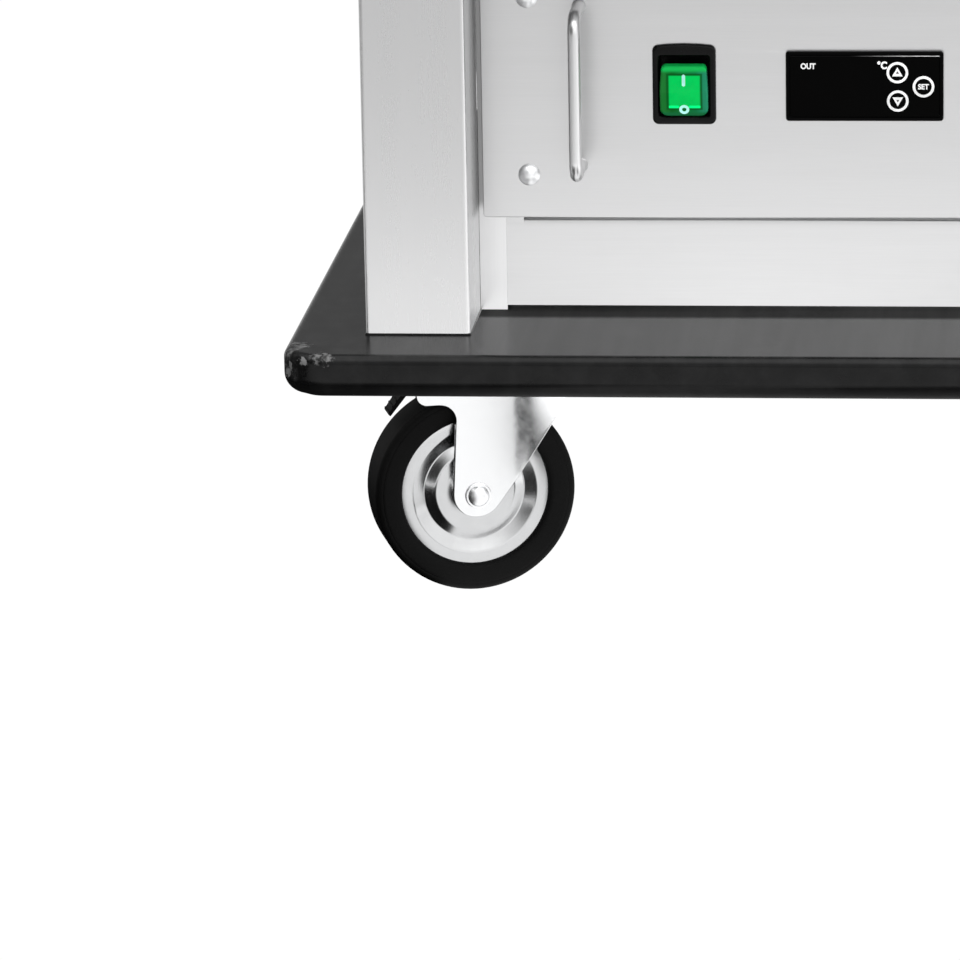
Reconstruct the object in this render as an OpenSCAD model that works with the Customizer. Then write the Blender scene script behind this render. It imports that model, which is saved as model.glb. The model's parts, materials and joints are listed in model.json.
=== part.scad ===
/* [Cabinet] */
// Width of the cabinet over its corner posts
body_w = 472; // [440:1:600]
// Depth of the cabinet over its posts
body_d = 650; // [600:1:800]
// Height of the cabinet from the bumper base to the roof
body_h = 1250; // [1000:1:1600]
// Thickness of the folded stainless sheet
sheet = 1.2; // [0.8:0.1:2]
// Width of a front corner post
post_w = 50; // [40:1:60]
// Width of the jamb strip beside the cavity
jamb_w = 13; // [12:1:30]
// Height of the rail under the control panel
rail_h = 42.5; // [30:0.5:60]
// Height of the lip round the roof
roof_lip = 38; // [20:1:60]
// Width of the folded lip round the roof
roof_lip_w = 12; // [6:1:25]

/* [Bumper base] */
// Reach of the bumper past the cabinet at each side
bumper_side = 36.5; // [20:1:60]
// Reach of the bumper past the cabinet at the front and the back
bumper_front = 43.5; // [30:1:70]
// Thickness of the moulded base
base_t = 21.2; // [16:1:40]
// Radius of the base's corners in plan
base_corner_r = 22; // [15:1:60]
// Radius of the base's rounded edges
base_edge_r = 7; // [2:0.5:8]

/* [Door] */
// Thickness of the door without its gasket
door_t = 44; // [30:1:46]
// How far the door's face lies behind the posts' faces
door_recess = 3; // [1:0.5:6]
// Clearance that the door's free edge keeps from the post as it swings
door_play = 0.7; // [0.5:0.1:2]
// Width of the gasket's band
gasket_w = 6; // [4:0.5:7]
// Thickness of the gasket between the door and the frame
gasket_t = 7; // [4:0.5:12]

/* [Heater module] */
// Height of the control panel
panel_h = 127; // [120:1:180]
// How far the control panel stands proud of the jamb strips
panel_proud = 4; // [3:0.5:6]
// Thickness of the control panel
panel_t = 1.5; // [1:0.1:3]
// Width of the thermostat's bezel
thermostat_w = 75; // [60:1:90]
// Height of the thermostat's bezel
thermostat_h = 34.5; // [30:0.5:45]
// Width of the rocker switch's bezel
switch_w = 30.4; // [24:0.2:40]
// Height of the rocker switch's bezel
switch_h = 38.5; // [32:0.5:50]
// Distance of the rocker switch from the middle of its space, between thermostat and wire handle
switch_shift = 0.75; // [0:0.25:8]
// Diameter of the wire handles' rod
wire_d = 6; // [5:0.5:8]
// Distance between the two legs of a wire handle
wire_span = 77; // [60:1:90]
// Clear depth behind a wire handle
wire_gap = 26; // [20:1:35]
// Distance of a wire handle from the panel's edge
wire_inset = 47.5; // [36:0.5:60]
// Diameter of the panel screws' domed heads
screw_head_d = 10.5; // [8:0.5:12]
// Gap between the heater tray and the back of the cavity
tray_short = 3.5; // [2:0.5:40]

/* [Castors] */
// Diameter of a wheel over its tyre
wheel_d = 100; // [80:1:110]
// Width of a tyre
tyre_w = 30; // [22:1:31]
// Diameter of a pressed wheel disc
rim_d = 73.6; // [60:0.2:78]
// Diameter of the axle bolts
axle_d = 8; // [6:0.5:10]
// Height of a castor's top plate above the top of its wheel
castor_rise = 26.8; // [25:0.1:50]
// Distance of a wheel's axle behind its swivel axis
trail = 34.5; // [30:0.5:40]
// Thickness of the fork's steel
fork_t = 3; // [2.5:0.1:3.5]
// Distance of a swivel axis from the cabinet's side
castor_side = 73; // [65:1:100]
// Distance of a swivel axis from the cabinet's front or back
castor_end = 100; // [90:1:140]

/* [Racks] */
// Distance between two runners
runner_pitch = 85; // [60:1:120]
// Thickness of the uprights that hold the runners off the cavity's wall
upright_t = 8; // [4:0.5:20]
// Width of a runner's ledge
runner_w = 15; // [10:1:20]

/* [Handles] */
// Diameter of the push handles' tube
tube_d = 25; // [20:1:32]
// Length of a push handle between its legs
push_span = 320; // [200:1:420]
// Clear depth behind a push handle
push_gap = 45; // [35:1:60]
// Height of the push handles above the floor
push_z = 1050; // [900:1:1120]

/* [Hidden] */
$fn = 48;
slack = 0.2;         // gap between pieces that lie against each other
turning = 0.4;       // gap between pieces that turn past each other
pin_fit = 0.06;      // radial clearance of a pin in its bore
hw = body_w / 2;
hd = body_d / 2;

// heights
base_z = wheel_d + castor_rise;
floor_z = base_z + base_t;
top_z = floor_z + body_h;
rail_z = floor_z + 2;
rail_top = rail_z + rail_h;
panel_z = rail_top + 2;
panel_top = panel_z + panel_h;
door_z = panel_top + 3.5;
door_top = top_z - 4;
cavity_z = door_z + 15;
cavity_top = door_top - 46;

// depths, from the front face of the posts at -hd
door_y = -hd + door_recess;
door_back = door_y + door_t;
frame_y = door_back + gasket_t;
post_d = frame_y + hd;
panel_y = frame_y - panel_proud;
back_y = hd;
cavity_back = hd - 40;
grille_y0 = frame_y + 81;
grille_y1 = cavity_back - 25;

// widths
inner_hw = hw - post_w;
cavity_hw = inner_hw - jamb_w;
door_gap = door_play + pow(door_t + 9, 2) / (4 * inner_hw);
door_hw = inner_hw - door_gap;
panel_hw = inner_hw - 2.5;
grille_hw = cavity_hw - 23;
pan_w = 2 * (cavity_hw - upright_t);

// controls
control_z = panel_z + panel_h / 2 + 2;
wire_x = panel_hw - wire_inset;
screw_d = 5;
screw_x = panel_hw - 22.5;
screw_zs = [panel_z + 21, panel_top - 19.5];
button_d = 10.9;
bezel_edge = thermostat_w / 2;
button_spots = [[bezel_edge - 21.3, 6.6], [bezel_edge - 21.1, -7.1], [bezel_edge - 8.9, -0.2]];
switch_x = (bezel_edge + wire_x) / 2 - switch_shift;
rocker_w = switch_w - 7.4;
rocker_h = switch_h - 12;
rocker_tilt = 6;
rocker_y = panel_y - 2;
rocker_z = control_z - 1.2;

// tray of the heater module
tray_hw = cavity_hw - 5;
tray_z = panel_z + 2.5;
tray_h = panel_h - 16;
tray_y = panel_y + panel_t;
tray_back = cavity_back - tray_short;
fan_y = tray_back - 75;
impeller_d = 120;
impeller_z = tray_z + 56;
pan_y0 = tray_y + 143.5;
pan_y1 = tray_back - 146.5;
pan_len = pan_y1 - pan_y0;
pan_rim_z = tray_z + tray_h - 9;

// hinges and latch
hinge_x = inner_hw - 1.5;
hinge_y = -hd - 6;
knuckle_d = 11;
hinge_pin_d = 6;
knuckle_h = 24;
leaf_t = 3;
hinge_zs = [door_z + 110, door_top - 110];
latch_inset = 23;
latch_x = -(door_hw - latch_inset);
latch_z = door_z + (door_top - door_z) / 2;
spindle_d = 12;
tongue_y = -hd - 13;
tongue_t = 3;

// castors
wheel_r = wheel_d / 2;
rim_r = rim_d / 2;
crown_z = base_z - 19;
leg_y = tyre_w / 2 + 2;
plate_t = 4;
kingpin_d = 12;
plate_hole = [80, 60];
castor_bolt_d = 8;
castor_names = ["front_left", "front_right", "rear_left", "rear_right"];
castor_sign = [[-1, -1], [1, -1], [-1, 1], [1, 1]];
castor_turn = [16, 11, 20, 14];
pivot_x = -24;
pivot_z = crown_z - 2.5;
pivot_d = 4;

// finishes
steel = "#c9cbcc";
zinc = "#b9bcbd";
moulding = "#1b1b1c";
tyre_black = "#222223";
foam = "#e3d9a8";

// ---- shapes that repeat ----

// A block between two corners
module block(a, b) {
    translate(a) cube(b - a);
}

// A flat rectangle with round corners, centred
module rounded_square(w, d, r) {
    square([w - 2 * r, d], center = true);
    square([w, d - 2 * r], center = true);
    for (sx = [-1, 1])
        for (sy = [-1, 1])
            translate([sx * (w / 2 - r), sy * (d / 2 - r)]) circle(r);
}

// A plate that stands in the XZ plane, its front face at y, centred on x and z
module upright_plate(x, y, z, w, h, t, r) {
    translate([x, y + t, z]) rotate([90, 0, 0]) linear_extrude(t) rounded_square(w, h, r);
}

// A rod along Y, starting at y
module rod_y(x, y, z, d, l) {
    translate([x, y, z]) rotate([-90, 0, 0]) cylinder(d = d, h = l);
}

// A bow: a bar of length span with two legs of length leg, its axis in the XZ plane.
// The bar lies along Z at x = leg, and the legs run back to x = 0.
module bow(d, span, leg, bend) {
    translate([leg, 0, -span / 2 + bend]) cylinder(d = d, h = span - 2 * bend);
    for (s = [-1, 1]) {
        translate([0, 0, s * span / 2]) rotate([0, 90, 0]) cylinder(d = d, h = leg - bend);
        translate([leg - bend, 0, s * (span / 2 - bend)])
            rotate([90, 0, 0]) rotate([0, 0, s > 0 ? 0 : -90])
                rotate_extrude(angle = 90) translate([bend, 0]) circle(d = d);
    }
}

// Moves a castor's own frame to its place: origin on the floor under the swivel axis
module castor_place(i) {
    translate([castor_sign[i].x * (hw - castor_side), castor_sign[i].y * (hd - castor_end), 0])
        rotate([0, 0, castor_turn[i]])
            children();
}

// Moves a wheel's own frame, its axle along Y, to its place in the castor's frame
module wheel_place() {
    translate([-trail, 0, wheel_r]) children();
}

// ---- cabinet ----

module base_bumper() {
    w = body_w + 2 * bumper_side;
    d = body_d + 2 * bumper_front;
    color(moulding) difference() {
        translate([0, 0, base_z + base_t / 2]) hull()
            for (sx = [-1, 1])
                for (sy = [-1, 1])
                    translate([sx * (w / 2 - base_corner_r), sy * (d / 2 - base_corner_r), 0])
                        bumper_corner();
        castor_bolt_spots()
            translate([0, 0, base_z - 1]) cylinder(d = castor_bolt_d + 0.2, h = 1 + base_t - 3.5);
    }
}

// A disc with rounded edges, one corner of the base
module bumper_corner() {
    rotate_extrude($fn = 40) intersection() {
        rounded_square(2 * base_corner_r, base_t, base_edge_r, $fn = 24);
        translate([0, -base_t / 2]) square([base_corner_r, base_t]);
    }
}

// Places its children at each castor bolt, in the cabinet's frame
module castor_bolt_spots() {
    for (c = castor_sign)
        for (bx = [-1, 1])
            for (by = [-1, 1])
                translate([
                    c.x * (hw - castor_side) + bx * plate_hole.x / 2,
                    c.y * (hd - castor_end) + by * plate_hole.y / 2, 0
                ])
                    children();
}

module front_post(side) {
    h = top_z - floor_z;
    color(steel) translate([side * (hw - post_w / 2), -hd + post_d / 2, floor_z])
        linear_extrude(h) difference() {
            rounded_square(post_w, post_d, 2);
            rounded_square(post_w - 2 * sheet, post_d - 2 * sheet, 1);
        }
}

module side_panel(side) {
    flange = 40;
    color(steel) scale([side, 1, 1]) {
        block([hw - sheet, frame_y, floor_z], [hw, back_y, top_z]);
        block([hw - flange, back_y - sheet, floor_z], [hw, back_y, top_z]);
    }
}

module back_panel() {
    vent_h = 50;
    y = back_y - 2 * sheet - slack;
    color(steel) difference() {
        block([-hw + 8, y, floor_z], [hw - 8, y + sheet, top_z]);
        inlet_hole(slack);
        for (i = [-4:4])
            block([i * 14 - 2, y - 1, floor_z + 60],
                [i * 14 + 2, y + sheet + 1, floor_z + 60 + vent_h]);
    }
}

module roof_panel() {
    pan = 1.5;
    deck_z = top_z + roof_lip - 24;
    inner_w = body_w - 2 * roof_lip_w;
    inner_d = body_d - 2 * roof_lip_w;
    color(steel) difference() {
        translate([0, 0, top_z]) linear_extrude(roof_lip) rounded_square(body_w, body_d, 4);
        translate([0, 0, deck_z]) linear_extrude(roof_lip) rounded_square(inner_w, inner_d, 4);
        translate([0, 0, top_z - 1]) linear_extrude(deck_z - pan - top_z + 1)
            rounded_square(inner_w, inner_d, 4);
    }
}

module cavity_liner() {
    y = frame_y + sheet;
    color(steel) difference() {
        block([-cavity_hw - sheet, y, cavity_z - sheet],
            [cavity_hw + sheet, cavity_back + sheet, cavity_top + sheet]);
        block([-cavity_hw, y - 1, cavity_z], [cavity_hw, cavity_back, cavity_top]);
        block([-grille_hw + 10, grille_y0 + 10, cavity_z - 5],
            [grille_hw - 10, grille_y1 - 10, cavity_z + 5]);
    }
}

module cabinet_insulation() {
    x = hw - sheet - slack;
    y = frame_y + sheet + slack;
    skin = sheet + slack;
    color(foam) difference() {
        block([-x, y, cavity_z - 8], [x, back_y - 2 * sheet - 2 * slack, top_z - slack]);
        block([-cavity_hw - skin, y - 1, cavity_z - 9],
            [cavity_hw + skin, cavity_back + skin, cavity_top + skin]);
    }
}

// Jamb strips, sill and lintel, welded in one plane
module front_frame() {
    color(steel) difference() {
        block([-inner_hw, frame_y, floor_z], [inner_hw, frame_y + sheet, top_z]);
        block([-cavity_hw, frame_y - 1, cavity_z], [cavity_hw, frame_y + 2, cavity_top]);
        block([-cavity_hw, frame_y - 1, floor_z - 1], [cavity_hw, frame_y + 2, cavity_z - 26]);
    }
}

// Lower rail with a rounded top fold, and the two runners that carry the heater tray
module lower_frame() {
    y = frame_y + sheet;
    bend = 2.5;
    color(steel) {
        block([-cavity_hw - 10, y, rail_z], [cavity_hw + 10, y + sheet, rail_top - bend]);
        translate([-cavity_hw, y + bend, rail_top - bend]) rotate([0, 90, 0])
            cylinder(r = bend, h = 2 * cavity_hw);
        for (s = [-1, 1])
            scale([s, 1, 1]) {
                block([cavity_hw - sheet, y, rail_z], [cavity_hw, cavity_back, tray_z - slack]);
                block([cavity_hw - 22, y + 6, tray_z - slack - sheet],
                    [cavity_hw, cavity_back, tray_z - slack]);
            }
    }
}

// Two uprights, and the runners that clip on them
module rack(side) {
    inset = 60;
    first = cavity_z + 40;
    count = floor((cavity_top - 60 - first) / runner_pitch);
    y0 = frame_y + 12;
    y1 = cavity_back - 12;
    color(zinc) scale([side, 1, 1]) {
        for (y = [y0 + inset, y1 - inset])
            block([pan_w / 2, y - 10, cavity_z + 2], [pan_w / 2 + upright_t - slack, y + 10, cavity_top - 4]);
        for (i = [0:count])
            block([pan_w / 2 - runner_w, y0, first + i * runner_pitch],
                [pan_w / 2 - slack / 2, y1, first + i * runner_pitch + 2]);
    }
}

module push_handle(side) {
    leg = push_gap + tube_d / 2;
    bend = 28;
    color(steel) scale([side, 1, 1]) translate([hw, 0, push_z]) {
        rotate([90, 0, 0]) bow(tube_d, push_span, leg, bend);
        for (s = [-1, 1])
            translate([0, s * push_span / 2, 0]) rotate([0, 90, 0]) cylinder(d = 48, h = 3);
    }
}

module hinge_knuckle(z, d) {
    translate([hinge_x, hinge_y, z]) cylinder(d = d, h = knuckle_h - turning);
}

// Leaves on the right post, with the pins
module frame_hinges() {
    color(zinc) for (z = hinge_zs) {
        x0 = hinge_x + knuckle_d / 2 + turning;
        block([x0, -hd - leaf_t, z - 1.5 * knuckle_h], [hw - 12, -hd, z + 1.5 * knuckle_h - turning]);
        for (k = [-1.5, 0.5]) {
            hinge_knuckle(z + k * knuckle_h, knuckle_d);
            block([hinge_x + 2, -hd - leaf_t, z + k * knuckle_h],
                [x0 + 1, -hd - 0.6, z + (k + 1) * knuckle_h - turning]);
        }
        translate([hinge_x, hinge_y, z - 1.5 * knuckle_h]) cylinder(d = hinge_pin_d, h = 3 * knuckle_h);
        for (sz = [-1, 1])
            rod_y(hinge_x + 24, -hd - leaf_t - 2, z + sz * 20, 9, 2);
    }
}

// Leaves on the door, each with one knuckle round the pin
module door_hinges() {
    color(zinc) for (z = hinge_zs) {
        x1 = hinge_x - knuckle_d / 2 - turning;
        k0 = z - knuckle_h / 2;
        difference() {
            union() {
                block([x1 - 34, -hd - leaf_t, z - 1.5 * knuckle_h],
                    [x1, door_y, z + 1.5 * knuckle_h - turning]);
                hinge_knuckle(k0, knuckle_d);
                block([x1 - 1, -hd - leaf_t, k0], [hinge_x - 2, -hd - 0.6, k0 + knuckle_h - turning]);
            }
            translate([hinge_x, hinge_y, k0 - 1]) cylinder(d = hinge_pin_d + 2 * pin_fit, h = knuckle_h + 2);
        }
        for (sz = [-1, 1])
            rod_y(hinge_x - 24, -hd - leaf_t - 2, z + sz * 20, 9, 2);
    }
}

// Staple on the left post: the latch's tongue swings in behind its lip from below
module latch_keeper() {
    x0 = -hw + 14;
    x1 = -inner_hw - 4;
    lip_y = tongue_y - turning - 4;
    color(zinc) {
        block([x0, tongue_y + tongue_t + turning, latch_z - 12], [x1, -hd, latch_z + 12]);
        block([x0, lip_y, latch_z - 12], [x0 + 8, -hd, latch_z + 12]);
        block([x0, lip_y, latch_z - 12], [x1, tongue_y - turning, latch_z + 12]);
    }
}

module inlet_place() {
    translate([110, back_y - 2 * sheet - slack, floor_z + 84]) children();
}

module inlet_hole(gap) {
    inlet_place() block([-20 - gap, -3, -14 - gap], [20 + gap, 3, 14 + gap]);
}

// Recessed appliance inlet at the back, with three blades in its socket
module mains_inlet() {
    color(moulding) inlet_place() {
        difference() {
            union() {
                block([-20, -24, -14], [20, sheet, 14]);
                translate([0, sheet + 3, 0]) rotate([90, 0, 0]) linear_extrude(3) rounded_square(52, 38, 4);
            }
            block([-15, -18, -10], [15, 8, 10]);
        }
        for (x = [-9, 0, 9])
            block([x - 1, -18, 0], [x + 1, -2, 6]);
    }
}

// ---- castors ----

// Top plates, each with its bearing cup and its kingpin
module castor_plates() {
    color(zinc) for (i = [0:3])
        translate([castor_sign[i].x * (hw - castor_side), castor_sign[i].y * (hd - castor_end), 0])
        difference() {
            union() {
                translate([0, 0, base_z - plate_t]) linear_extrude(plate_t) rounded_square(102, 84, 8);
                translate([0, 0, crown_z + fork_t + turning])
                    cylinder(d = 62, h = base_z - plate_t - crown_z - fork_t - turning);
                translate([0, 0, crown_z - 2]) cylinder(d = kingpin_d, h = base_z - crown_z);
                translate([0, 0, crown_z - turning - 3.5]) cylinder(d = 22, h = 3.5);
            }
            for (bx = [-1, 1])
                for (by = [-1, 1])
                    translate([bx * plate_hole.x / 2, by * plate_hole.y / 2, base_z - plate_t - 1])
                        cylinder(d = castor_bolt_d + 0.5, h = plate_t + 2);
        }
}

module castor_bolts() {
    color(zinc) castor_bolt_spots() {
        translate([0, 0, base_z - plate_t]) cylinder(d = castor_bolt_d, h = plate_t + base_t - 6);
        translate([0, 0, base_z - plate_t - 5]) cylinder(d = 13, h = 5, $fn = 6);
    }
}

// Side outline of the fork, in the wheel's frame: x along the trail, y up from the axle
module fork_outline() {
    top = crown_z + fork_t - wheel_r;
    circle(12);
    polygon([
        [-12.5, -1], [-10, pivot_z - wheel_r - 16], [-9.5, top], [trail + 20.8, top],
        [trail + 12.7, top - 13], [trail + 6.3, top - 24], [22, 10], [10.5, -5.5]
    ]);
}

// Ears at the front castors that carry the brake pedal's pivot, with a fillet into the leg
module fork_ear() {
    y = pivot_z - wheel_r;
    top = crown_z + fork_t - wheel_r;
    x = pivot_x - 1;
    drop = 8.6;
    corner = 5;
    fillet = 8;
    difference() {
        union() {
            translate([x, y - drop + corner]) circle(corner);
            translate([x, y - drop]) square([20, top - y + drop]);
            translate([x - corner, y - drop + corner]) square([20, top - y + drop - corner]);
        }
        translate([pivot_x, y]) circle(d = pivot_d + 2 * pin_fit);
    }
    difference() {
        translate([-14, y - drop - fillet]) square([6, fillet + 1]);
        translate([-18, y - drop - fillet]) circle(fillet);
    }
}

// Plan of the fork's bent sheet: straight round the wheel, drawn in towards the crown's nose
module fork_plan(inset) {
    half = leg_y + fork_t - inset;
    reach = 40;
    r = half + reach;
    bend_x = wheel_r - 27.5;
    translate([-60, -half]) square([60 + bend_x, 2 * half]);
    intersection() {
        translate([bend_x, reach]) circle(r, $fn = 96);
        translate([bend_x, -reach]) circle(r, $fn = 96);
        translate([bend_x, -half]) square([50, 2 * half]);
    }
}

module fork(i) {
    z0 = wheel_r - 13;
    braked = i < 2;
    color(zinc) castor_place(i) difference() {
        union() {
            intersection() {
                translate([-trail, 0, z0]) linear_extrude(crown_z + fork_t - z0) difference() {
                    fork_plan(0);
                    fork_plan(fork_t);
                }
                wheel_place() rotate([90, 0, 0]) linear_extrude(100, center = true) {
                    fork_outline();
                    if (braked) fork_ear();
                }
            }
            translate([0, 0, crown_z]) cylinder(d = 68, h = fork_t);
            translate([-trail - 9.5, -leg_y - 1, crown_z]) cube([trail, 2 * leg_y + 2, fork_t]);
        }
        translate([0, 0, crown_z - 1]) cylinder(d = kingpin_d + 2 * pin_fit, h = fork_t + 2);
        wheel_place() rotate([90, 0, 0]) cylinder(d = axle_d + 2 * pin_fit, h = 80, center = true);
    }
}

// Axle bolt: a flanged round head at the near side, a washer and a nut at the far side
module axle(i) {
    out = leg_y + fork_t;
    flange_t = 1.2;
    nut_t = 5.5;
    color(zinc) castor_place(i) wheel_place() {
        rod_y(0, -out - 4.2, 0, axle_d + 2.5, 4.2);
        rod_y(0, -out - flange_t, 0, axle_d + 5, flange_t);
        rod_y(0, -out - 1, 0, axle_d, 2 * out + nut_t + 4);
        rod_y(0, out, 0, axle_d + 9, flange_t);
        translate([0, out + flange_t, 0]) rotate([-90, 0, 0]) cylinder(d = axle_d + 7, h = nut_t, $fn = 6);
    }
}

// Half outline of the pressed disc pair, x from the axle and y along it
function rim_edge() = let (
    bore = axle_d / 2 + pin_fit,
    face = leg_y - turning,
    hub = 9,
    disc = tyre_w / 2 - 3.5,
    valley = rim_r - 10.8,
    land = rim_r - 5.6
) [
    [bore, face], [hub, face], [hub + 2, disc + 0.5], [valley - 5.4, disc], [valley, disc - 5],
    [land, disc], [rim_r, disc]
];

module rim(i) {
    near = rim_edge();
    far = [for (k = [len(near) - 1:-1:0]) [near[k].x, -near[k].y]];
    color(zinc) castor_place(i) wheel_place() rotate([90, 0, 0])
        rotate_extrude($fn = 72) polygon(concat(near, far));
}

module tyre(i) {
    band = wheel_r - rim_r;
    color(tyre_black) castor_place(i) wheel_place() rotate([90, 0, 0])
        rotate_extrude($fn = 96) translate([rim_r, 0]) {
            translate([band / 2, 0]) rounded_square(band, tyre_w, 4);
            translate([0, -tyre_w / 2 + 3]) square([band / 2, tyre_w - 6]);
        }
}

// Foot lever that turns on a pin across the fork's ears, its blade in front of the tyre
module brake_pedal(i) {
    blade_w = 13;
    color(moulding) castor_place(i) translate([-trail + pivot_x, 0, pivot_z]) rotate([90, 0, 0]) {
        linear_extrude(2 * (leg_y + fork_t), center = true) circle(d = pivot_d);
        linear_extrude(blade_w + 6, center = true) circle(pivot_d / 2 + 0.2);
        linear_extrude(blade_w, center = true)
            polygon([
                [-1, 2.2], [-7.5, -1], [-12.5, -7.5], [-17.8, -15.2], [-16.6, -16.3], [-8, -5.7], [1, -2.2]
            ]);
    }
}

// ---- heater module ----

module panel_holes() {
    for (s = [-1, 1])
        for (z = screw_zs)
            rod_y(s * screw_x, panel_y - 5, z, screw_d + 0.3, 15);
    block([-thermostat_w / 2 + 2, panel_y - 5, control_z - thermostat_h / 2 + 2.5],
        [thermostat_w / 2 - 2, panel_y + 10, control_z + thermostat_h / 2 - 2.5]);
    block([-switch_x - switch_w / 2 + 2, panel_y - 5, control_z - switch_h / 2 + 2],
        [-switch_x + switch_w / 2 - 2, panel_y + 10, control_z + switch_h / 2 - 2]);
}

module heater_panel() {
    flange = 20;
    color(steel) difference() {
        union() {
            upright_plate(0, panel_y, panel_z + panel_h / 2, 2 * panel_hw, panel_h, panel_t, 1.5);
            block([-panel_hw + flange, panel_y + 0.5, panel_z],
                [panel_hw - flange, panel_y + panel_t + 2, panel_z + 1.2]);
        }
        panel_holes();
    }
}

// Drawer-like chassis of the module, with ledges for the water pan and a rest for the element
module heater_tray() {
    z1 = tray_z + tray_h;
    rest_y = (pan_y0 + pan_y1) / 2 + 17.5;
    color(zinc) difference() {
        union() {
            difference() {
                block([-tray_hw, tray_y, tray_z], [tray_hw, tray_back, z1]);
                block([-tray_hw + sheet, tray_y + sheet, tray_z + sheet],
                    [tray_hw - sheet, tray_back - sheet, z1 + 1]);
            }
            for (s = [-1, 1])
                scale([s, 1, 1])
                    block([tray_hw - 12, pan_y0 - 5, pan_rim_z - slack - sheet],
                        [tray_hw, pan_y1 + 5, pan_rim_z - slack]);
            block([-tray_hw + 43, rest_y, tray_z], [tray_hw - 43, rest_y + 3, tray_z + 30]);
        }
        panel_holes();
    }
}

module wire_handles() {
    color(zinc) for (s = [-1, 1])
        translate([s * wire_x, panel_y, control_z]) rotate([0, 0, -90])
            bow(wire_d, wire_span, wire_gap + wire_d / 2, 8);
}

// Domed screws that hold the panel on the tray
module panel_screws() {
    dome_h = 3;
    r = (pow(screw_head_d / 2, 2) + dome_h * dome_h) / (2 * dome_h);
    color(zinc) for (s = [-1, 1])
        for (z = screw_zs) {
            rod_y(s * screw_x, panel_y, z, screw_d, 9);
            translate([s * screw_x, panel_y, z]) rotate([90, 0, 0]) rotate_extrude()
                intersection() {
                    translate([0, dome_h - r]) circle(r, $fn = 96);
                    square([screw_head_d / 2, dome_h]);
                }
        }
}

// Tube heater under the water pan: four runs joined by bends
module heating_element() {
    d = 8.5;
    pitch = (2 * tray_hw - 126) / 3;
    y0 = pan_y0 + 70;
    y1 = pan_y1 - 15;
    z = tray_z + 30 + d / 2;
    color("#6f6a66") {
        for (i = [-1.5:1.5]) {
            ends = abs(i) > 1 ? 90 : 0;
            rod_y(i * pitch, y0 - ends, z, d, y1 - y0 + ends);
        }
        for (x = [-pitch, pitch])
            translate([x, y1, z]) rotate_extrude(angle = 180) translate([pitch / 2, 0]) circle(d = d);
        translate([0, y0, z]) rotate([0, 0, 180]) rotate_extrude(angle = 180)
            translate([pitch / 2, 0]) circle(d = d);
    }
}

module fan_motor() {
    color("#8d9092") translate([0, fan_y, tray_z + sheet]) {
        cylinder(d = 70, h = 40);
        cylinder(d = 86, h = 4);
        cylinder(d = 24, h = 46);
        cylinder(d = 6, h = impeller_z - tray_z - sheet + 14);
    }
}

module fan_impeller() {
    blades = 12;
    color("#a9adaf") translate([0, fan_y, impeller_z]) difference() {
        union() {
            cylinder(d = impeller_d, h = 2);
            cylinder(d = 20, h = 18);
            for (a = [0:360 / blades:359])
                rotate([0, 0, a]) translate([30, -1, 1]) cube([impeller_d / 2 - 31, 2, 24]);
        }
        translate([0, 0, -1]) cylinder(d = 6 + 2 * pin_fit, h = 30);
    }
}

module water_pan() {
    depth = 40;
    w = 2 * tray_hw - 11;
    middle = pan_y0 + pan_len / 2;
    color(steel) translate([0, middle, pan_rim_z]) difference() {
        union() {
            linear_extrude(sheet) rounded_square(w, pan_len, 12);
            translate([0, 0, -depth]) linear_extrude(depth + sheet) rounded_square(w - 26, pan_len - 26, 14);
        }
        translate([0, 0, -depth + sheet]) linear_extrude(depth + 5)
            rounded_square(w - 26 - 2 * sheet, pan_len - 26 - 2 * sheet, 13);
    }
}

module air_grille() {
    slot = [4, 90];
    pitch = [14, 120];
    middle = (grille_y0 + grille_y1) / 2;
    across = floor((grille_hw - 20) / pitch.x);
    along = floor((grille_y1 - grille_y0 - slot.y) / 2 / pitch.y);
    color(steel) difference() {
        block([-grille_hw, grille_y0, cavity_z], [grille_hw, grille_y1, cavity_z + 1.5]);
        for (row = [-along:along])
            for (i = [-across:across])
                translate([i * pitch.x, middle + row * pitch.y, cavity_z - 1])
                    linear_extrude(5) rounded_square(slot.x, slot.y, 1.9);
    }
}

module thermostat_case() {
    proud = 2.5;
    color(moulding) difference() {
        union() {
            upright_plate(0, panel_y - proud, control_z, thermostat_w, thermostat_h, proud, 1.5);
            block([-thermostat_w / 2 + 2 + slack, panel_y - 1, control_z - thermostat_h / 2 + 2.5 + slack],
                [thermostat_w / 2 - 2 - slack, panel_y + 58, control_z + thermostat_h / 2 - 2.5 - slack]);
        }
        for (p = button_spots)
            rod_y(p.x, panel_y - proud - 1, control_z + p.y, button_d + 2 * slack, 5);
    }
}

module thermostat_button(i) {
    p = button_spots[i];
    color(moulding) rod_y(p.x, panel_y - 2.8, control_z + p.y, button_d, 3);
}

module switch_housing() {
    proud = 2;
    color(moulding) difference() {
        union() {
            upright_plate(-switch_x, panel_y - proud, control_z, switch_w, switch_h, proud, 3);
            block([-switch_x - switch_w / 2 + 2 + slack, panel_y - 1, control_z - switch_h / 2 + 2 + slack],
                [-switch_x + switch_w / 2 - 2 - slack, panel_y + 30, control_z + switch_h / 2 - 2 - slack]);
        }
        block([-switch_x - rocker_w / 2 - turning, panel_y - 5, rocker_z - rocker_h / 2 - 1.2],
            [-switch_x + rocker_w / 2 + turning, panel_y + 14, rocker_z + rocker_h / 2 + 1.2]);
    }
}

// Rocker on a pin across the housing, drawn with its lower half pressed in
module switch_rocker() {
    color("#12a24a") translate([-switch_x, rocker_y, rocker_z]) rotate([rocker_tilt, 0, 0])
        rotate([90, 0, 90]) linear_extrude(rocker_w, center = true) {
            intersection() {
                translate([44, 0]) circle(48, $fn = 96);
                translate([-6, -rocker_h / 2]) square([8, rocker_h]);
            }
            translate([1, -7]) square([6, 14]);
        }
}

// ---- door ----

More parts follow.
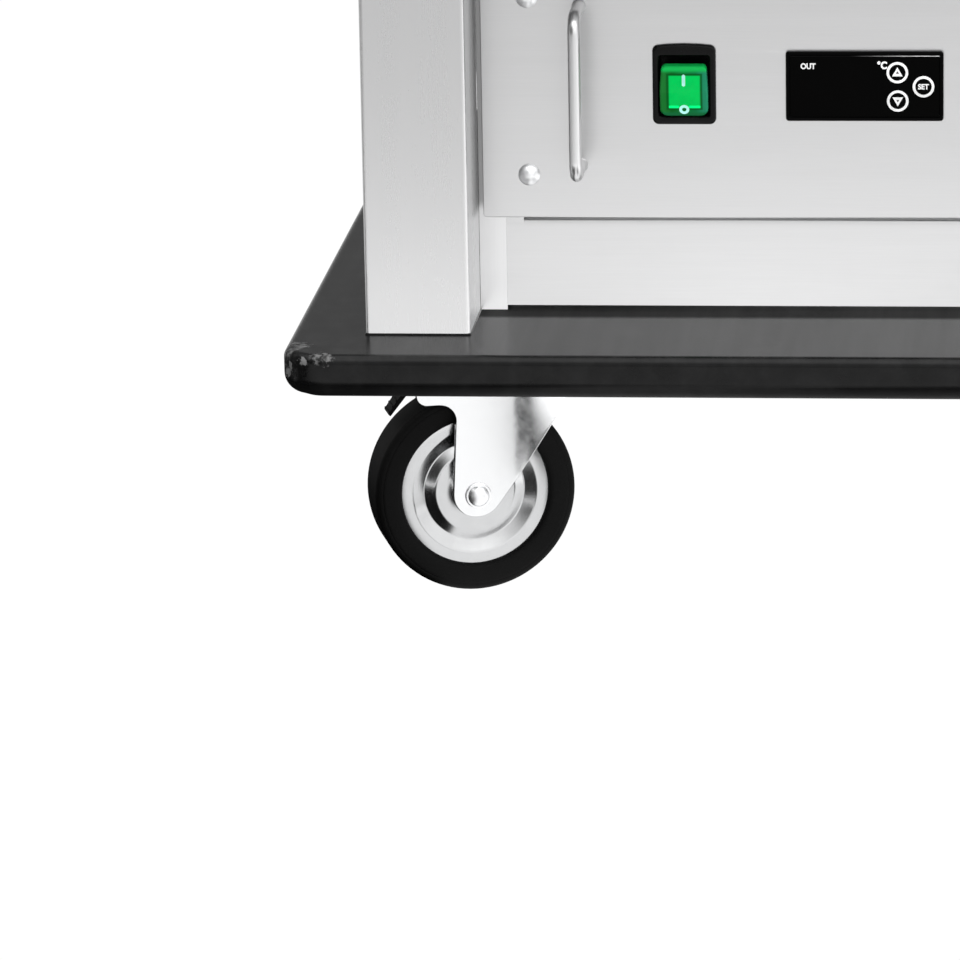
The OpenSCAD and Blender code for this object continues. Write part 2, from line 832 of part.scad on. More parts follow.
module door_skin() {
    h = door_top - door_z;
    color(steel) difference() {
        upright_plate(0, door_y, door_z + h / 2, 2 * door_hw, h, door_t, 2);
        upright_plate(0, door_y + sheet, door_z + h / 2, 2 * (door_hw - sheet), h - 2 * sheet, door_t, 1);
    }
}

module door_liner() {
    in = sheet + slack;
    color(steel) block([-door_hw + in, door_back - sheet, door_z + in],
        [door_hw - in, door_back, door_top - in]);
}

module door_insulation() {
    in = sheet + slack;
    color(foam) block([-door_hw + in, door_y + in, door_z + in],
        [door_hw - in, door_back - in, door_top - in]);
}

module door_gasket() {
    y1 = frame_y - slack;
    outer = door_hw - 1;
    color("#3a3a3a") difference() {
        block([-outer, door_back, door_z + 2], [outer, y1, door_top - 2]);
        block([-outer + gasket_w, door_back - 1, door_z + 2 + gasket_w],
            [outer - gasket_w, y1 + 1, door_top - 2 - gasket_w]);
    }
}

module latch_housing() {
    color(zinc) difference() {
        upright_plate(latch_x, tongue_y + tongue_t + turning, latch_z, 38, 90,
            door_y - tongue_y - tongue_t - turning, 8);
        rod_y(latch_x, tongue_y, latch_z, spindle_d + 2 * pin_fit, 40);
    }
}

// Lever with its spindle and tongue, drawn released: the lever level, the tongue down
module latch_handle() {
    reach = door_gap + latch_inset + post_w - 28;
    lever_y = tongue_y - 20;
    color(moulding) {
        rod_y(latch_x, tongue_y - 8, latch_z, spindle_d, door_y - tongue_y + 8 - slack);
        rod_y(latch_x, lever_y, latch_z, 30, 17);
        block([latch_x - 10, tongue_y, latch_z - reach], [latch_x + 10, tongue_y + tongue_t, latch_z]);
        rod_y(latch_x, tongue_y - 4, latch_z, 24, 4 + tongue_t);
        translate([latch_x, lever_y + 10, latch_z]) rotate([90, 0, 0]) linear_extrude(10)
            translate([50, 0]) rounded_square(120, 22, 10);
    }
}

// ---- assembly ----

base_bumper();
front_post(-1);  // post_front_left
front_post(1);  // post_front_right
side_panel(-1);  // side_panel_left
side_panel(1);  // side_panel_right
back_panel();
roof_panel();
cavity_liner();
cabinet_insulation();
front_frame();
lower_frame();
rack(-1);  // rack_left
rack(1);  // rack_right
push_handle(-1);  // push_handle_left
push_handle(1);  // push_handle_right
frame_hinges();
latch_keeper();
mains_inlet();
castor_plates();
castor_bolts();
air_grille();
heater_panel();
heater_tray();
wire_handles();
panel_screws();
heating_element();
fan_motor();
fan_impeller();
water_pan();
thermostat_case();
thermostat_button(0);  // button_up
thermostat_button(1);  // button_down
thermostat_button(2);  // button_set
switch_housing();
switch_rocker();
door_skin();
door_liner();
door_insulation();
door_gasket();
door_hinges();
latch_housing();
latch_handle();
for (i = [0:3]) {
    fork(i);
    axle(i);
    rim(i);
    tyre(i);
}
brake_pedal(0);  // brake_pedal_left
brake_pedal(1);  // brake_pedal_right
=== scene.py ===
import bmesh
import bpy
import json
import math
from bpy.props import FloatProperty, FloatVectorProperty, IntProperty, PointerProperty
from mathutils import Matrix, Vector, noise


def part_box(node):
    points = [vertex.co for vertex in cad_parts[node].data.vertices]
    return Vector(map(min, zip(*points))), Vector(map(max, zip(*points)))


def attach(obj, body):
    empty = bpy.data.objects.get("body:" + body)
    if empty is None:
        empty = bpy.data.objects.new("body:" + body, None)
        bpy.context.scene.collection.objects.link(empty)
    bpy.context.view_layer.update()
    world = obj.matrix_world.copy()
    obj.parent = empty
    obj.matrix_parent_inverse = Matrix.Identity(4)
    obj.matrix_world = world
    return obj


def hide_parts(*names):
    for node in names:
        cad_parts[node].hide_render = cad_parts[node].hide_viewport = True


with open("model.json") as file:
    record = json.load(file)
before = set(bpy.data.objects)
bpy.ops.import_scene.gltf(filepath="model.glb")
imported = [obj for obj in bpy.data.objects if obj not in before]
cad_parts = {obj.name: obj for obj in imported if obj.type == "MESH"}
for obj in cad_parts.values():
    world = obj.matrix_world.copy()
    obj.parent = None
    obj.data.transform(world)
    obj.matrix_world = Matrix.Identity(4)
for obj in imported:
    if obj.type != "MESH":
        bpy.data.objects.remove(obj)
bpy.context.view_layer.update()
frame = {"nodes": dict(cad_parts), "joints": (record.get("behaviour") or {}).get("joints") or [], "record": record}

bl_info = {
    "name": "Hostess trolley",
    "version": (1, 0, 0),
    "blender": (4, 5, 0),
    "location": "3D View > Sidebar > Trolley",
    "description": "Builds the visible pieces, the finishes and the stage of a heated hostess trolley",
    "category": "Object",
}

MM = 0.001
CORNERS = ("front_left", "front_right", "rear_left", "rear_right")


# ---- sizes and colours ----

def length(name, description, default):
    return FloatProperty(name=name, description=description, default=default, min=0.0, unit='LENGTH',
                         precision=5)


def brightness(name, description, default):
    return FloatProperty(name=name, description="Brightness of " + description, default=default, min=0.0)


def colour(name, description, default):
    return FloatVectorProperty(name=name, description=description, default=default, subtype='COLOR',
                               size=3, min=0.0, max=1.0)


class TrolleySizes(bpy.types.PropertyGroup):
    base_top_edge: length("Base top edge", "Radius of the moulded base's upper edge", 0.0045)
    base_under_edge: length("Base under edge", "Radius of the moulded base's lower edge", 0.009)
    base_corner: length("Base corner", "Radius of the base's corners in plan", 0.022)
    sheet: length("Sheet", "Thickness of the folded stainless sheet", 0.0012)
    fold: length("Fold", "Outer radius of the control panel's corners", 0.0016)
    screw_dome: length("Screw dome", "Height of a panel screw's domed head", 0.003)
    wire_bend: length("Wire bend", "Bend radius of the wire handles", 0.008)
    bead: length("Weld bead", "Width of the weld bead round a handle's foot", 0.0005)
    print_height: length("Print height", "Height of the printed marks over their surface", 0.00004)
    window_step: length("Window step", "How deep the thermostat's window lies in its rim", 0.00025)
    fork_bend: length("Fork bend", "Radius at which the fork's cheeks draw in towards the nose", 0.075)
    turned_steps: IntProperty(name="Turned steps", description="Flats round a turned piece", default=96,
                              min=24, max=256)


class TrolleyColours(bpy.types.PropertyGroup):
    steel: colour("Steel", "Stainless sheet", (0.56, 0.56, 0.563))
    zinc: colour("Zinc", "Bright zinc plate", (0.64, 0.644, 0.65))
    rim: colour("Wheel disc", "Pressed and plated wheel disc", (0.45, 0.453, 0.457))
    moulding: colour("Moulding", "Black moulded base and handles", (0.004, 0.004, 0.0041))
    scuff: colour("Scuff", "Worn and chipped moulding", (0.15, 0.15, 0.15))
    gloss: colour("Gloss", "Glossy black window", (0.0006, 0.0006, 0.0006))
    tyre: colour("Tyre", "Black rubber tyre", (0.003, 0.003, 0.003))
    mark: colour("Mark", "White print", (0.95, 0.95, 0.95))
    lamp: colour("Lamp", "Lit green of the rocker's window", (0.0, 0.43, 0.07))


class StageSettings(bpy.types.PropertyGroup):
    floor_size: length("Floor", "Half the side of the floor", 40.0)
    near_floor: brightness("Near floor", "the lit floor in front", 2.3)
    castor_floor: brightness("Castor floor", "the floor that lights the castor", 1.55)
    far_floor: brightness("Far floor", "the floor further off", 0.9)
    sky: brightness("Room", "the pale room", 0.85)
    overhead_front: brightness("Overhead", "the room high above", 2.2)


# ---- shapes ----

class Box:
    """A node's box: its corners, its middle x, y, z and half its width, depth and height."""

    def __init__(self, node):
        self.low, self.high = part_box(node)
        self.x, self.y, self.z = ((a + b) / 2 for a, b in zip(self.low, self.high))
        self.half_w, self.half_d, self.half_h = ((b - a) / 2 for a, b in zip(self.low, self.high))


def joint_of(name):
    return next(joint for joint in frame["joints"] if joint["name"] == name)


def mm(rows):
    """Rows of millimetres in metres."""
    return [tuple(value * MM for value in row) for row in rows]


def quarter(steps):
    """The angles of a quarter turn."""
    return [math.pi / 2 * k / steps for k in range(steps + 1)]


def rounded_outline(corners, steps=6):
    """Points round a closed outline; each corner is (x, y, radius)."""
    points = []
    for i, (x, y, radius) in enumerate(corners):
        here = Vector((x, y))
        before = (Vector(corners[i - 1][:2]) - here).normalized()
        after = (Vector(corners[(i + 1) % len(corners)][:2]) - here).normalized()
        if radius <= 0:
            points.append((x, y))
            continue
        half = before.angle(after) / 2
        centre = here + (before + after).normalized() * (radius / math.sin(half))
        start = here + before * (radius / math.tan(half)) - centre
        end = here + after * (radius / math.tan(half)) - centre
        first = math.atan2(start.y, start.x)
        turn = (math.atan2(end.y, end.x) - first + math.pi) % (2 * math.pi) - math.pi
        points += [(centre.x + radius * math.cos(a), centre.y + radius * math.sin(a))
                   for a in (first + turn * k / steps for k in range(steps + 1))]
    return points


def rounded_rect(half_w, half_h, radius, x=0.0, y=0.0, steps=6):
    return rounded_outline([(x - half_w, y - half_h, radius), (x + half_w, y - half_h, radius),
                            (x + half_w, y + half_h, radius), (x - half_w, y + half_h, radius)], steps)


def ring(radius, steps=32, x=0.0, y=0.0):
    return [(x + radius * math.cos(2 * math.pi * k / steps), y + radius * math.sin(2 * math.pi * k / steps))
            for k in range(steps)]


def upright(points, y):
    """A flat outline stood up in the XZ plane at depth y."""
    return [Vector((px, y, pz)) for px, pz in points]


def level(points, z):
    return [Vector((px, py, z)) for px, py in points]


def paired(rings, loop):
    """Each ring with the next one, and in a loop the last with the first."""
    return list(zip(rings, rings[1:])) + ([(rings[-1], rings[0])] if loop else [])


def skin(bm, rings, loop=False):
    """Skins closed rings of equal length; capped at both ends, or joined last to first."""
    made = [[bm.verts.new(p) for p in points] for points in rings]
    for a, b in paired(made, loop):
        for i in range(len(a)):
            j = (i + 1) % len(a)
            bm.faces.new((a[i], a[j], b[j], b[i]))
    if not loop:
        bm.faces.new(list(reversed(made[0])))
        bm.faces.new(made[-1])


def turned(bm, profile, place, steps=96, loop=False):
    """Turns (radius, along) points round the Z axis of the matrix place."""
    made = [[bm.verts.new(place @ Vector((x, y, along)))
             for x, y in (ring(radius, steps) if radius > 0 else [(0, 0)])] for radius, along in profile]
    for a, b in paired(made, loop):
        for i in range(steps):
            j = (i + 1) % steps
            if len(a) == 1:
                bm.faces.new((a[0], b[j], b[i]))
            elif len(b) == 1:
                bm.faces.new((a[i], a[j], b[0]))
            else:
                bm.faces.new((a[i], a[j], b[j], b[i]))
    for end, points in ((0, made[0]), (1, made[-1])):
        if not loop and len(points) > 1:
            bm.faces.new(points if end else list(reversed(points)))


def swept(bm, path, radius, sides=24):
    """A round rod along a path, its ends closed."""
    path = [Vector(p) for p in path]
    rings = []
    normal = None
    for i, here in enumerate(path):
        ahead = (path[min(i + 1, len(path) - 1)] - path[max(i - 1, 0)]).normalized()
        if normal is None:
            normal = ahead.orthogonal().normalized()
        normal = (normal - ahead * normal.dot(ahead)).normalized()
        other = ahead.cross(normal)
        rings.append([here + (normal * math.cos(2 * math.pi * k / sides)
                              + other * math.sin(2 * math.pi * k / sides)) * radius for k in range(sides)])
    skin(bm, rings)


def arc(centre, from_dir, to_dir, radius, steps=10):
    """Points of a quarter bend between two square directions."""
    return [Vector(centre) + (Vector(from_dir) * math.cos(a) + Vector(to_dir) * math.sin(a)) * radius
            for a in quarter(steps)]


def mesh_of(source):
    """The mesh that a curve or text gives, and the curve removed."""
    holder = bpy.data.objects.new("pattern", source)
    bpy.context.scene.collection.objects.link(holder)
    bpy.context.view_layer.update()
    mesh = bpy.data.meshes.new_from_object(holder.evaluated_get(bpy.context.evaluated_depsgraph_get()))
    bpy.data.objects.remove(holder)
    bpy.data.curves.remove(source)
    made = bmesh.new()
    made.from_mesh(mesh)
    bpy.data.meshes.remove(mesh)
    bmesh.ops.remove_doubles(made, verts=made.verts, dist=1e-6)
    return made


def cut_sheet(outlines, thickness, edge):
    """A sheet in the XY plane, cut along its outlines (the outside first, then holes), edges eased."""
    pattern = bpy.data.curves.new("pattern", 'CURVE')
    pattern.dimensions = '2D'
    pattern.fill_mode = 'BOTH'
    pattern.extrude = thickness / 2 - edge
    pattern.bevel_depth = edge
    pattern.bevel_resolution = 2
    pattern.offset = -edge
    for outline in outlines:
        spline = pattern.splines.new('POLY')
        spline.points.add(len(outline) - 1)
        for point, (x, y) in zip(spline.points, outline):
            point.co = (x, y, 0, 1)
        spline.use_cyclic_u = True
    return mesh_of(pattern)


def lettering(words, width, height, centre, y, depth):
    """Bold letters in the XZ plane that face -Y, stretched to the size asked for."""
    text = bpy.data.curves.new("lettering", 'FONT')
    text.body = words
    text.size = 1.0
    text.offset = 0.04
    text.extrude = 0.01
    made = mesh_of(text)
    xs, ys = ([v.co[axis] for v in made.verts] for axis in (0, 1))
    mid = Vector(((min(xs) + max(xs)) / 2, (min(ys) + max(ys)) / 2))
    for v in made.verts:
        v.co = Vector((centre[0] + (v.co.x - mid.x) * width / (max(xs) - min(xs)),
                       y - (depth if v.co.z > 0 else -depth),
                       centre[1] + (v.co.y - mid.y) * height / (max(ys) - min(ys))))
    return made


def take(bm, other, place=None):
    """Adds another shape to this one."""
    if place is not None:
        other.transform(place)
    carrier = bpy.data.meshes.new("carrier")
    other.to_mesh(carrier)
    other.free()
    bm.from_mesh(carrier)
    bpy.data.meshes.remove(carrier)


STAND_UP = Matrix(((1, 0, 0, 0), (0, 0, -1, 0), (0, 1, 0, 0), (0, 0, 0, 1)))


def facing_front(x, y, z):
    """A frame whose Z axis points out of the trolley's front."""
    return Matrix.Translation((x, y, z)) @ STAND_UP


def add_object(name, data):
    made = bpy.data.objects.new(name, data)
    bpy.context.scene.collection.objects.link(made)
    return made


def add_piece(name, bm, body, slot, finish, *replaces, sharp=32.0):
    """Makes a shape an object of the trolley: finished, riding on its body and standing for its nodes."""
    bmesh.ops.recalc_face_normals(bm, faces=bm.faces)
    mesh = bpy.data.meshes.new(name)
    bm.to_mesh(mesh)
    bm.free()
    mesh.shade_smooth()
    mesh.set_sharp_from_angle(angle=math.radians(sharp))
    mesh.materials.append(bpy.data.materials[finish])
    piece = add_object(name, mesh)
    piece.modifiers.new("even shading", 'WEIGHTED_NORMAL').keep_sharp = True
    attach(piece, body)
    if replaces:
        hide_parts(*replaces)
    return piece


# ---- finishes ----

class Wiring:
    """Adds nodes to one node tree and joins them."""

    def __init__(self, tree):
        self.tree = tree

    def add(self, kind, inputs=(), **settings):
        node = self.tree.nodes.new(kind)
        for key, value in settings.items():
            setattr(node, key, value)
        for key, value in dict(inputs).items():
            if isinstance(value, bpy.types.NodeSocket):
                self.tree.links.new(value, node.inputs[key])
            else:
                node.inputs[key].default_value = value
        return node

    def math(self, operation, first, *others):
        for other in others or (0.0,):
            first = self.add('ShaderNodeMath', {0: first, 1: other}, operation=operation).outputs[0]
        return first

    def times(self, *values):
        return self.math('MULTIPLY', *values)

    def plus(self, *values):
        return self.math('ADD', *values)

    def most(self, *values):
        return self.math('MAXIMUM', *values)

    def size(self, value):
        return self.math('ABSOLUTE', value)

    def mix(self, factor, a, b):
        return self.add('ShaderNodeMix', {0: factor, 6: a, 7: b}, data_type='RGBA').outputs[2]

    def fade(self, value, low, high, to_low=0.0, to_high=1.0):
        return self.add('ShaderNodeMapRange', {0: value, 1: low, 2: high, 3: to_low, 4: to_high},
                        interpolation_type='SMOOTHSTEP').outputs[0]

    def band(self, value, low, high, soft):
        return self.times(self.fade(value, low - soft, low + soft),
                          self.fade(value, high - soft, high + soft, 1.0, 0.0))

    def where(self):
        return self.add('ShaderNodeTexCoord').outputs['Object']

    def parts(self, vector):
        return self.add('ShaderNodeSeparateXYZ', {0: vector}).outputs

    def facing(self):
        return self.parts(self.add('ShaderNodeNewGeometry').outputs['Normal'])['Z']

    def speckle(self, where, scale, detail=3.0, roughness=0.55):
        return self.add('ShaderNodeTexNoise', {'Vector': where, 'Scale': scale, 'Detail': detail,
                                               'Roughness': roughness}).outputs[0]

    def group(self, name, **inputs):
        node = self.tree.nodes.new('ShaderNodeGroup')
        node.node_tree = bpy.data.node_groups[name]
        for key, value in inputs.items():
            node.inputs[key].default_value = value
        return node.outputs

    def to_camera(self, glow, seen):
        """The glow, but a plain brightness where the camera sees it."""
        camera = self.add('ShaderNodeLightPath').outputs['Is Camera Ray']
        return self.add('ShaderNodeMix', {0: camera, 2: glow, 3: seen}, data_type='FLOAT').outputs[0]


class Finish(Wiring):
    """A material with one Principled shader, and the nodes that feed it."""

    def __init__(self, name, roughness, **settings):
        self.material = bpy.data.materials.new(name)
        self.material.use_nodes = True
        super().__init__(self.material.node_tree)
        self.shader = self.tree.nodes["Principled BSDF"]
        for key, value in dict(settings, Roughness=roughness).items():
            self.shader.inputs[key.replace("_", " ")].default_value = value

    def bump(self, height, strength, distance):
        return self.add('ShaderNodeBump', {'Height': height, 'Strength': strength,
                                           'Distance': distance}).outputs[0]

    def feed(self, **sockets):
        for key, socket in sockets.items():
            self.tree.links.new(socket, self.shader.inputs[key.replace("_", " ")])


def start_group(name, outputs, **inputs):
    """A shared effect: a node group with named inputs and value outputs, and what gives it its outputs."""
    tree = bpy.data.node_groups.new(name, 'ShaderNodeTree')
    for label, default in inputs.items():
        kind = 'NodeSocketVector' if isinstance(default, tuple) else 'NodeSocketFloat'
        tree.interface.new_socket(label, in_out='INPUT', socket_type=kind).default_value = default
    for label in outputs:
        tree.interface.new_socket(label, in_out='OUTPUT', socket_type='NodeSocketFloat')
    net = Wiring(tree)
    given, out = net.add('NodeGroupInput').outputs, net.add('NodeGroupOutput').inputs

    def give(**effects):
        for label, socket in effects.items():
            tree.links.new(socket, out[label])

    return net, given, give


def make_effects():
    net, given, give = start_group("brushed grain", ("Tone", "Height"), Run=(1.0, 1.0, 0.03),
                                   Fineness=1400.0)
    drawn = net.add('ShaderNodeVectorMath', {0: net.where(), 1: given["Run"]},
                    operation='MULTIPLY').outputs[0]
    fine = net.speckle(drawn, given["Fineness"], 4.0, 0.6)
    broad = net.speckle(drawn, net.times(given["Fineness"], 0.08), 2.0)
    give(Tone=net.fade(net.plus(net.times(fine, 0.6), net.times(broad, 0.4)), 0.3, 0.7), Height=fine)

    net, given, give = start_group("handling marks", ("Marks",), Scale=14.0, Amount=0.5)
    where = net.where()
    cloud = net.fade(net.speckle(where, given["Scale"], 3.0, 0.5), 0.4, 0.8)
    rub = net.fade(net.speckle(where, net.times(given["Scale"], 9.0), 3.0), 0.4, 0.7)
    give(Marks=net.times(cloud, rub, given["Amount"]))

    net, given, give = start_group("moulded grain", ("Height", "Tone"), Scale=1800.0)
    where = net.where()
    pits = net.add('ShaderNodeTexVoronoi', {'Vector': where, 'Scale': given["Scale"]}).outputs[0]
    give(Height=pits, Tone=net.speckle(where, net.times(given["Scale"], 0.02), 4.0, 0.6))

    net, given, give = start_group("dust film", ("Dust",), Amount=0.3)
    lying = net.fade(net.facing(), -0.2, 0.9, 0.35, 1.0)
    patches = net.fade(net.speckle(net.where(), 90.0, 5.0, 0.65), 0.4, 0.75)
    give(Dust=net.times(lying, patches, given["Amount"]))

    # painted shade: a mask for the dark recess between a front post and the control panel's edge
    net, given, give = start_group("recess shade", ("Shade",), Inside=0.18, Outside=0.19, Front=-0.3,
                                   Foot=0.19, Head=0.32)
    spot = net.parts(net.where())
    from_middle = net.size(spot['X'])
    soft, deep, tall = 0.0006, 0.014, 0.006
    give(Shade=net.times(
        net.fade(from_middle, given["Inside"], net.plus(given["Inside"], soft)),
        net.fade(from_middle, given["Outside"], net.plus(given["Outside"], soft), 1.0, 0.0),
        net.fade(spot['Y'], given["Front"], net.plus(given["Front"], deep)),
        net.fade(spot['Z'], given["Foot"], net.plus(given["Foot"], tall)),
        net.fade(spot['Z'], given["Head"], net.plus(given["Head"], tall), 1.0, 0.0)))


def shade(rgb, factor):
    return tuple(c * factor for c in rgb[:3]) + (1.0,)


UPRIGHT, ACROSS, DEEP, EVEN = (1.0, 1.0, 0.02), (0.02, 1.0, 1.0), (1.0, 0.02, 1.0), (1.0, 1.0, 1.0)


def brushed_metal(name, rgb, roughness, run, fineness=1400.0, contrast=0.018, marks=0.35, depth=0.000006,
                  recess=None):
    """Drawn or brushed sheet: tone and roughness follow the grain and the handling; painted shade darkens a
    recess.
    """
    net = Finish(name, roughness, Metallic=1.0)
    grain = net.group("brushed grain", Run=run, Fineness=fineness)
    touched = net.group("handling marks", Scale=11.0, Amount=marks)["Marks"]
    tone = net.mix(grain["Tone"], shade(rgb, 1 - contrast), shade(rgb, 1 + contrast))
    tone = net.mix(net.times(touched, 0.25), tone, shade(rgb, 0.86))
    # painted shade: darkens the deep flank of a front post and the jamb's sliver beside the panel
    if recess:
        post, (panel_low, panel_high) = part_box("post_front_right")[0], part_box("heater_panel")
        painted_shade = net.group("recess shade", Inside=panel_high.x - 0.0005, Outside=post.x + 0.0037,
                         Front=post.y + 0.014, Foot=panel_low.z + 0.002, Head=panel_high.z)["Shade"]
        tone = net.mix(painted_shade, tone, shade(rgb, recess))
    rough = net.plus(net.times(grain["Tone"], 0.012), net.times(touched, 0.06), roughness - 0.01)
    net.feed(Base_Color=tone, Roughness=rough, Normal=net.bump(grain["Height"], 0.04, depth))


def plated_metal(name, rgb, roughness, tint):
    """Plated pressing: soft clouded spangle, little grain."""
    net = Finish(name, roughness, Metallic=1.0)
    cloud = net.fade(net.speckle(net.where(), 130.0, 4.0, 0.6), 0.35, 0.65)
    touched = net.group("handling marks", Scale=30.0, Amount=0.6)["Marks"]
    grain = net.group("brushed grain", Run=EVEN, Fineness=2200.0)
    tone = net.mix(cloud, shade(rgb, 1 - tint), shade(rgb, 1 + tint))
    tone = net.mix(net.times(touched, 0.15), tone, shade(rgb, 0.85))
    rough = net.plus(net.times(cloud, 0.03), net.times(touched, 0.1), roughness - 0.02)
    net.feed(Base_Color=tone, Roughness=rough, Normal=net.bump(grain["Height"], 0.2, 0.00002))


def moulded(name, rgb, roughness, grain_scale, grain_depth, dust, dusty, **settings):
    """Moulded plastic, rubber or foam with a grained skin and a film of dust."""
    net = Finish(name, roughness, **settings)
    grain = net.group("moulded grain", Scale=grain_scale)
    film = net.group("dust film", Amount=dust)["Dust"]
    tone = net.mix(net.fade(grain["Tone"], 0.3, 0.7), shade(rgb, 0.8), shade(rgb, 1.25))
    tone = net.mix(film, tone, shade(dusty, 1.0))
    rough = net.plus(net.times(grain["Tone"], 0.12), net.times(film, 0.25), roughness - 0.06)
    net.feed(Base_Color=tone, Roughness=rough, Normal=net.bump(grain["Height"], 0.35, grain_depth))


def bumper_finish(name, rgb, scuff):
    """The base's satin black: drawn streaks, a painted shadow along the frame, and its corners rubbed and chipped.
    """
    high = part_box("base_bumper")[1]
    frame_low, frame_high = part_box("front_frame")
    net = Finish(name, 0.3, IOR=1.22)
    where = net.where()
    spot = net.parts(where)
    grain = net.group("moulded grain", Scale=2400.0)
    film = net.group("dust film", Amount=0.12)["Dust"]
    streak = net.group("brushed grain", Run=(1.0, 0.05, 1.0), Fineness=90.0)["Tone"]
    from_middle = net.size(spot['X'])
    folded = net.add('ShaderNodeCombineXYZ',
                     {0: from_middle, 1: net.size(spot['Y']), 2: spot['Z']}).outputs[0]
    ragged = net.times(net.math('SUBTRACT', net.speckle(where, 240.0, 5.0, 0.7), 0.5), 0.02)

    def blots(*spots):
        """Ragged spots; x, y and z count from the base's top corner, in mm, then radius and softness."""
        masks = []
        for x, y, z, radius, soft in spots:
            centre = (high.x - x * MM, high.y - y * MM, high.z - z * MM)
            far = net.add('ShaderNodeVectorMath', {0: folded, 1: centre},
                          operation='DISTANCE').outputs['Value']
            masks.append(net.fade(net.plus(far, ragged), radius * MM * (1 - soft), radius * MM, 1.0, 0.0))
        return net.most(*masks)

    patch = net.fade(net.speckle(where, 150.0, 5.0, 0.7), 0.42, 0.6)
    scuffed = net.times(blots((6, 22, 0, 7.5, 0.8), (4.5, 14, 0, 6, 0.8), (19, 3, 0, 6, 0.7),
                              (23, 0.5, 1, 3.5, 0.35)), patch)
    chipped = blots((1.5, 12, 10.5, 3, 0.35), (11.5, 4.5, 4.5, 1.4, 0.35), (4.5, 8.5, 6.5, 1.4, 0.35))
    burnt = blots((4.5, 9.5, 4.5, 6.2, 0.2), (10, 5, 6, 4.5, 0.2))
    worn = net.most(net.times(scuffed, 0.75), net.times(chipped, 0.8))
    # painted shadow: a dark band on the base's top just in front of the frame's rail
    painted_shade = net.times(net.band(spot['Y'], frame_low.y - 0.016, frame_low.y + 0.01, 0.004),
                     net.fade(from_middle, frame_high.x - 0.001, frame_high.x, 1.0, 0.0))
    tone = net.mix(net.fade(grain["Tone"], 0.3, 0.7), shade(rgb, 0.75), shade(rgb, 1.3))
    tone = net.mix(film, tone, shade(scuff, 0.45))
    tone = net.mix(net.most(burnt, painted_shade), tone, shade(rgb, 0.1))
    tone = net.mix(worn, tone, shade(scuff, 1.25))
    under = net.fade(net.facing(), -0.6, -0.2, 1.0, 0.0)
    rough = net.plus(net.times(streak, 0.08), 0.19, net.times(net.most(worn, burnt, painted_shade, under), 0.4))
    height = net.math('SUBTRACT', grain["Height"], net.times(net.most(chipped, burnt), 6.0))
    net.feed(Base_Color=tone, Roughness=rough, Normal=net.bump(height, 0.25, 0.00005))


# the rocker cap's colours from left to right: painted shade on the flanks, a painted highlight at the right edge
ROCKER_SHADED_FLANKS = ((0.0, (0.013, 0.19, 0.032)), (0.16, (0.002, 0.115, 0.013)), (0.5, (0.004, 0.2, 0.04)),
                 (0.84, (0.004, 0.17, 0.05)), (1.0, (0.015, 0.24, 0.12)))


def rocker_finish(name, lamp):
    """Clear green rocker: a lit window with a painted shadow line round it, darker flanks in painted shade,
    a painted highlight at the right edge and along the window's foot, and a pale top.
    """
    cap = Box("switch_rocker")
    net = Finish(name, 0.22, Specular_IOR_Level=0.04, Emission_Strength=1.0)
    where = net.where()
    spot = net.parts(where)
    across = net.math('SUBTRACT', spot['X'], cap.x)
    up = net.math('SUBTRACT', spot['Z'], cap.z)
    ramp = net.add('ShaderNodeValToRGB', {0: net.fade(across, -0.0116, 0.0116)})
    while len(ramp.color_ramp.elements) < len(ROCKER_SHADED_FLANKS):
        ramp.color_ramp.elements.new(0.5)
    for element, (place, rgb) in zip(ramp.color_ramp.elements, ROCKER_SHADED_FLANKS):
        element.position = place
        element.color = (*rgb, 1.0)
    tone = net.mix(net.fade(up, 0.0072, 0.0092), ramp.outputs[0], (0.007, 0.46, 0.085, 1.0))
    tone = net.mix(net.fade(up, -0.0130, -0.0112, 1.0, 0.0), tone, (0.006, 0.155, 0.045, 1.0))
    # painted shadow: the dark line round the lit window
    line = net.times(net.band(across, -0.0083, 0.0089, 0.0003), net.band(up, -0.0108, 0.0072, 0.0003))
    tone = net.mix(net.times(line, 0.85), tone, (0.001, 0.085, 0.012, 1.0))
    window = net.times(net.band(across, -0.0071, 0.0078, 0.0004), net.band(up, -0.0099, 0.0062, 0.0004))
    cloud = net.fade(net.speckle(where, 260.0, 2.0), 0.3, 0.7)
    tone = net.mix(window, tone, net.mix(cloud, shade(lamp, 0.95), shade(lamp, 1.03)))
    # painted highlight: bright bars along the window's foot, which also glow
    highlight_bars = net.times(net.band(up, -0.0100, -0.0087, 0.0003), window, net.fade(net.size(across), 0.002, 0.003))
    tone = net.mix(highlight_bars, tone, (0.0, 1.0, 0.23, 1.0))
    # the window's glow is the switch's own lamp; the bars' glow is painted highlight
    glow = net.plus(net.times(window, 0.3), net.times(highlight_bars, 0.5))
    net.feed(Base_Color=tone, Roughness=net.plus(net.times(cloud, 0.06), 0.13),
             Emission_Color=net.mix(glow, (0.0, 0.0, 0.0, 1.0), (0.0, 0.5, 0.09, 1.0)))


def film_finish(name):
    """The cut edge of the window's film: black, with a painted highlight that pales it towards the right."""
    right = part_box("thermostat_case")[1].x
    net = Finish(name, 0.3, Specular_IOR_Level=0.05)
    where = net.where()
    # painted highlight: paler towards the case's right end
    pale = net.times(net.fade(net.parts(where)['X'], right - 0.045, right - 0.003),
                     net.fade(net.speckle(where, 300.0, 2.0), 0.2, 0.6, 0.6, 1.0))
    net.feed(Base_Color=net.mix(pale, (0.002, 0.002, 0.002, 1.0), (0.9, 0.9, 0.9, 1.0)))


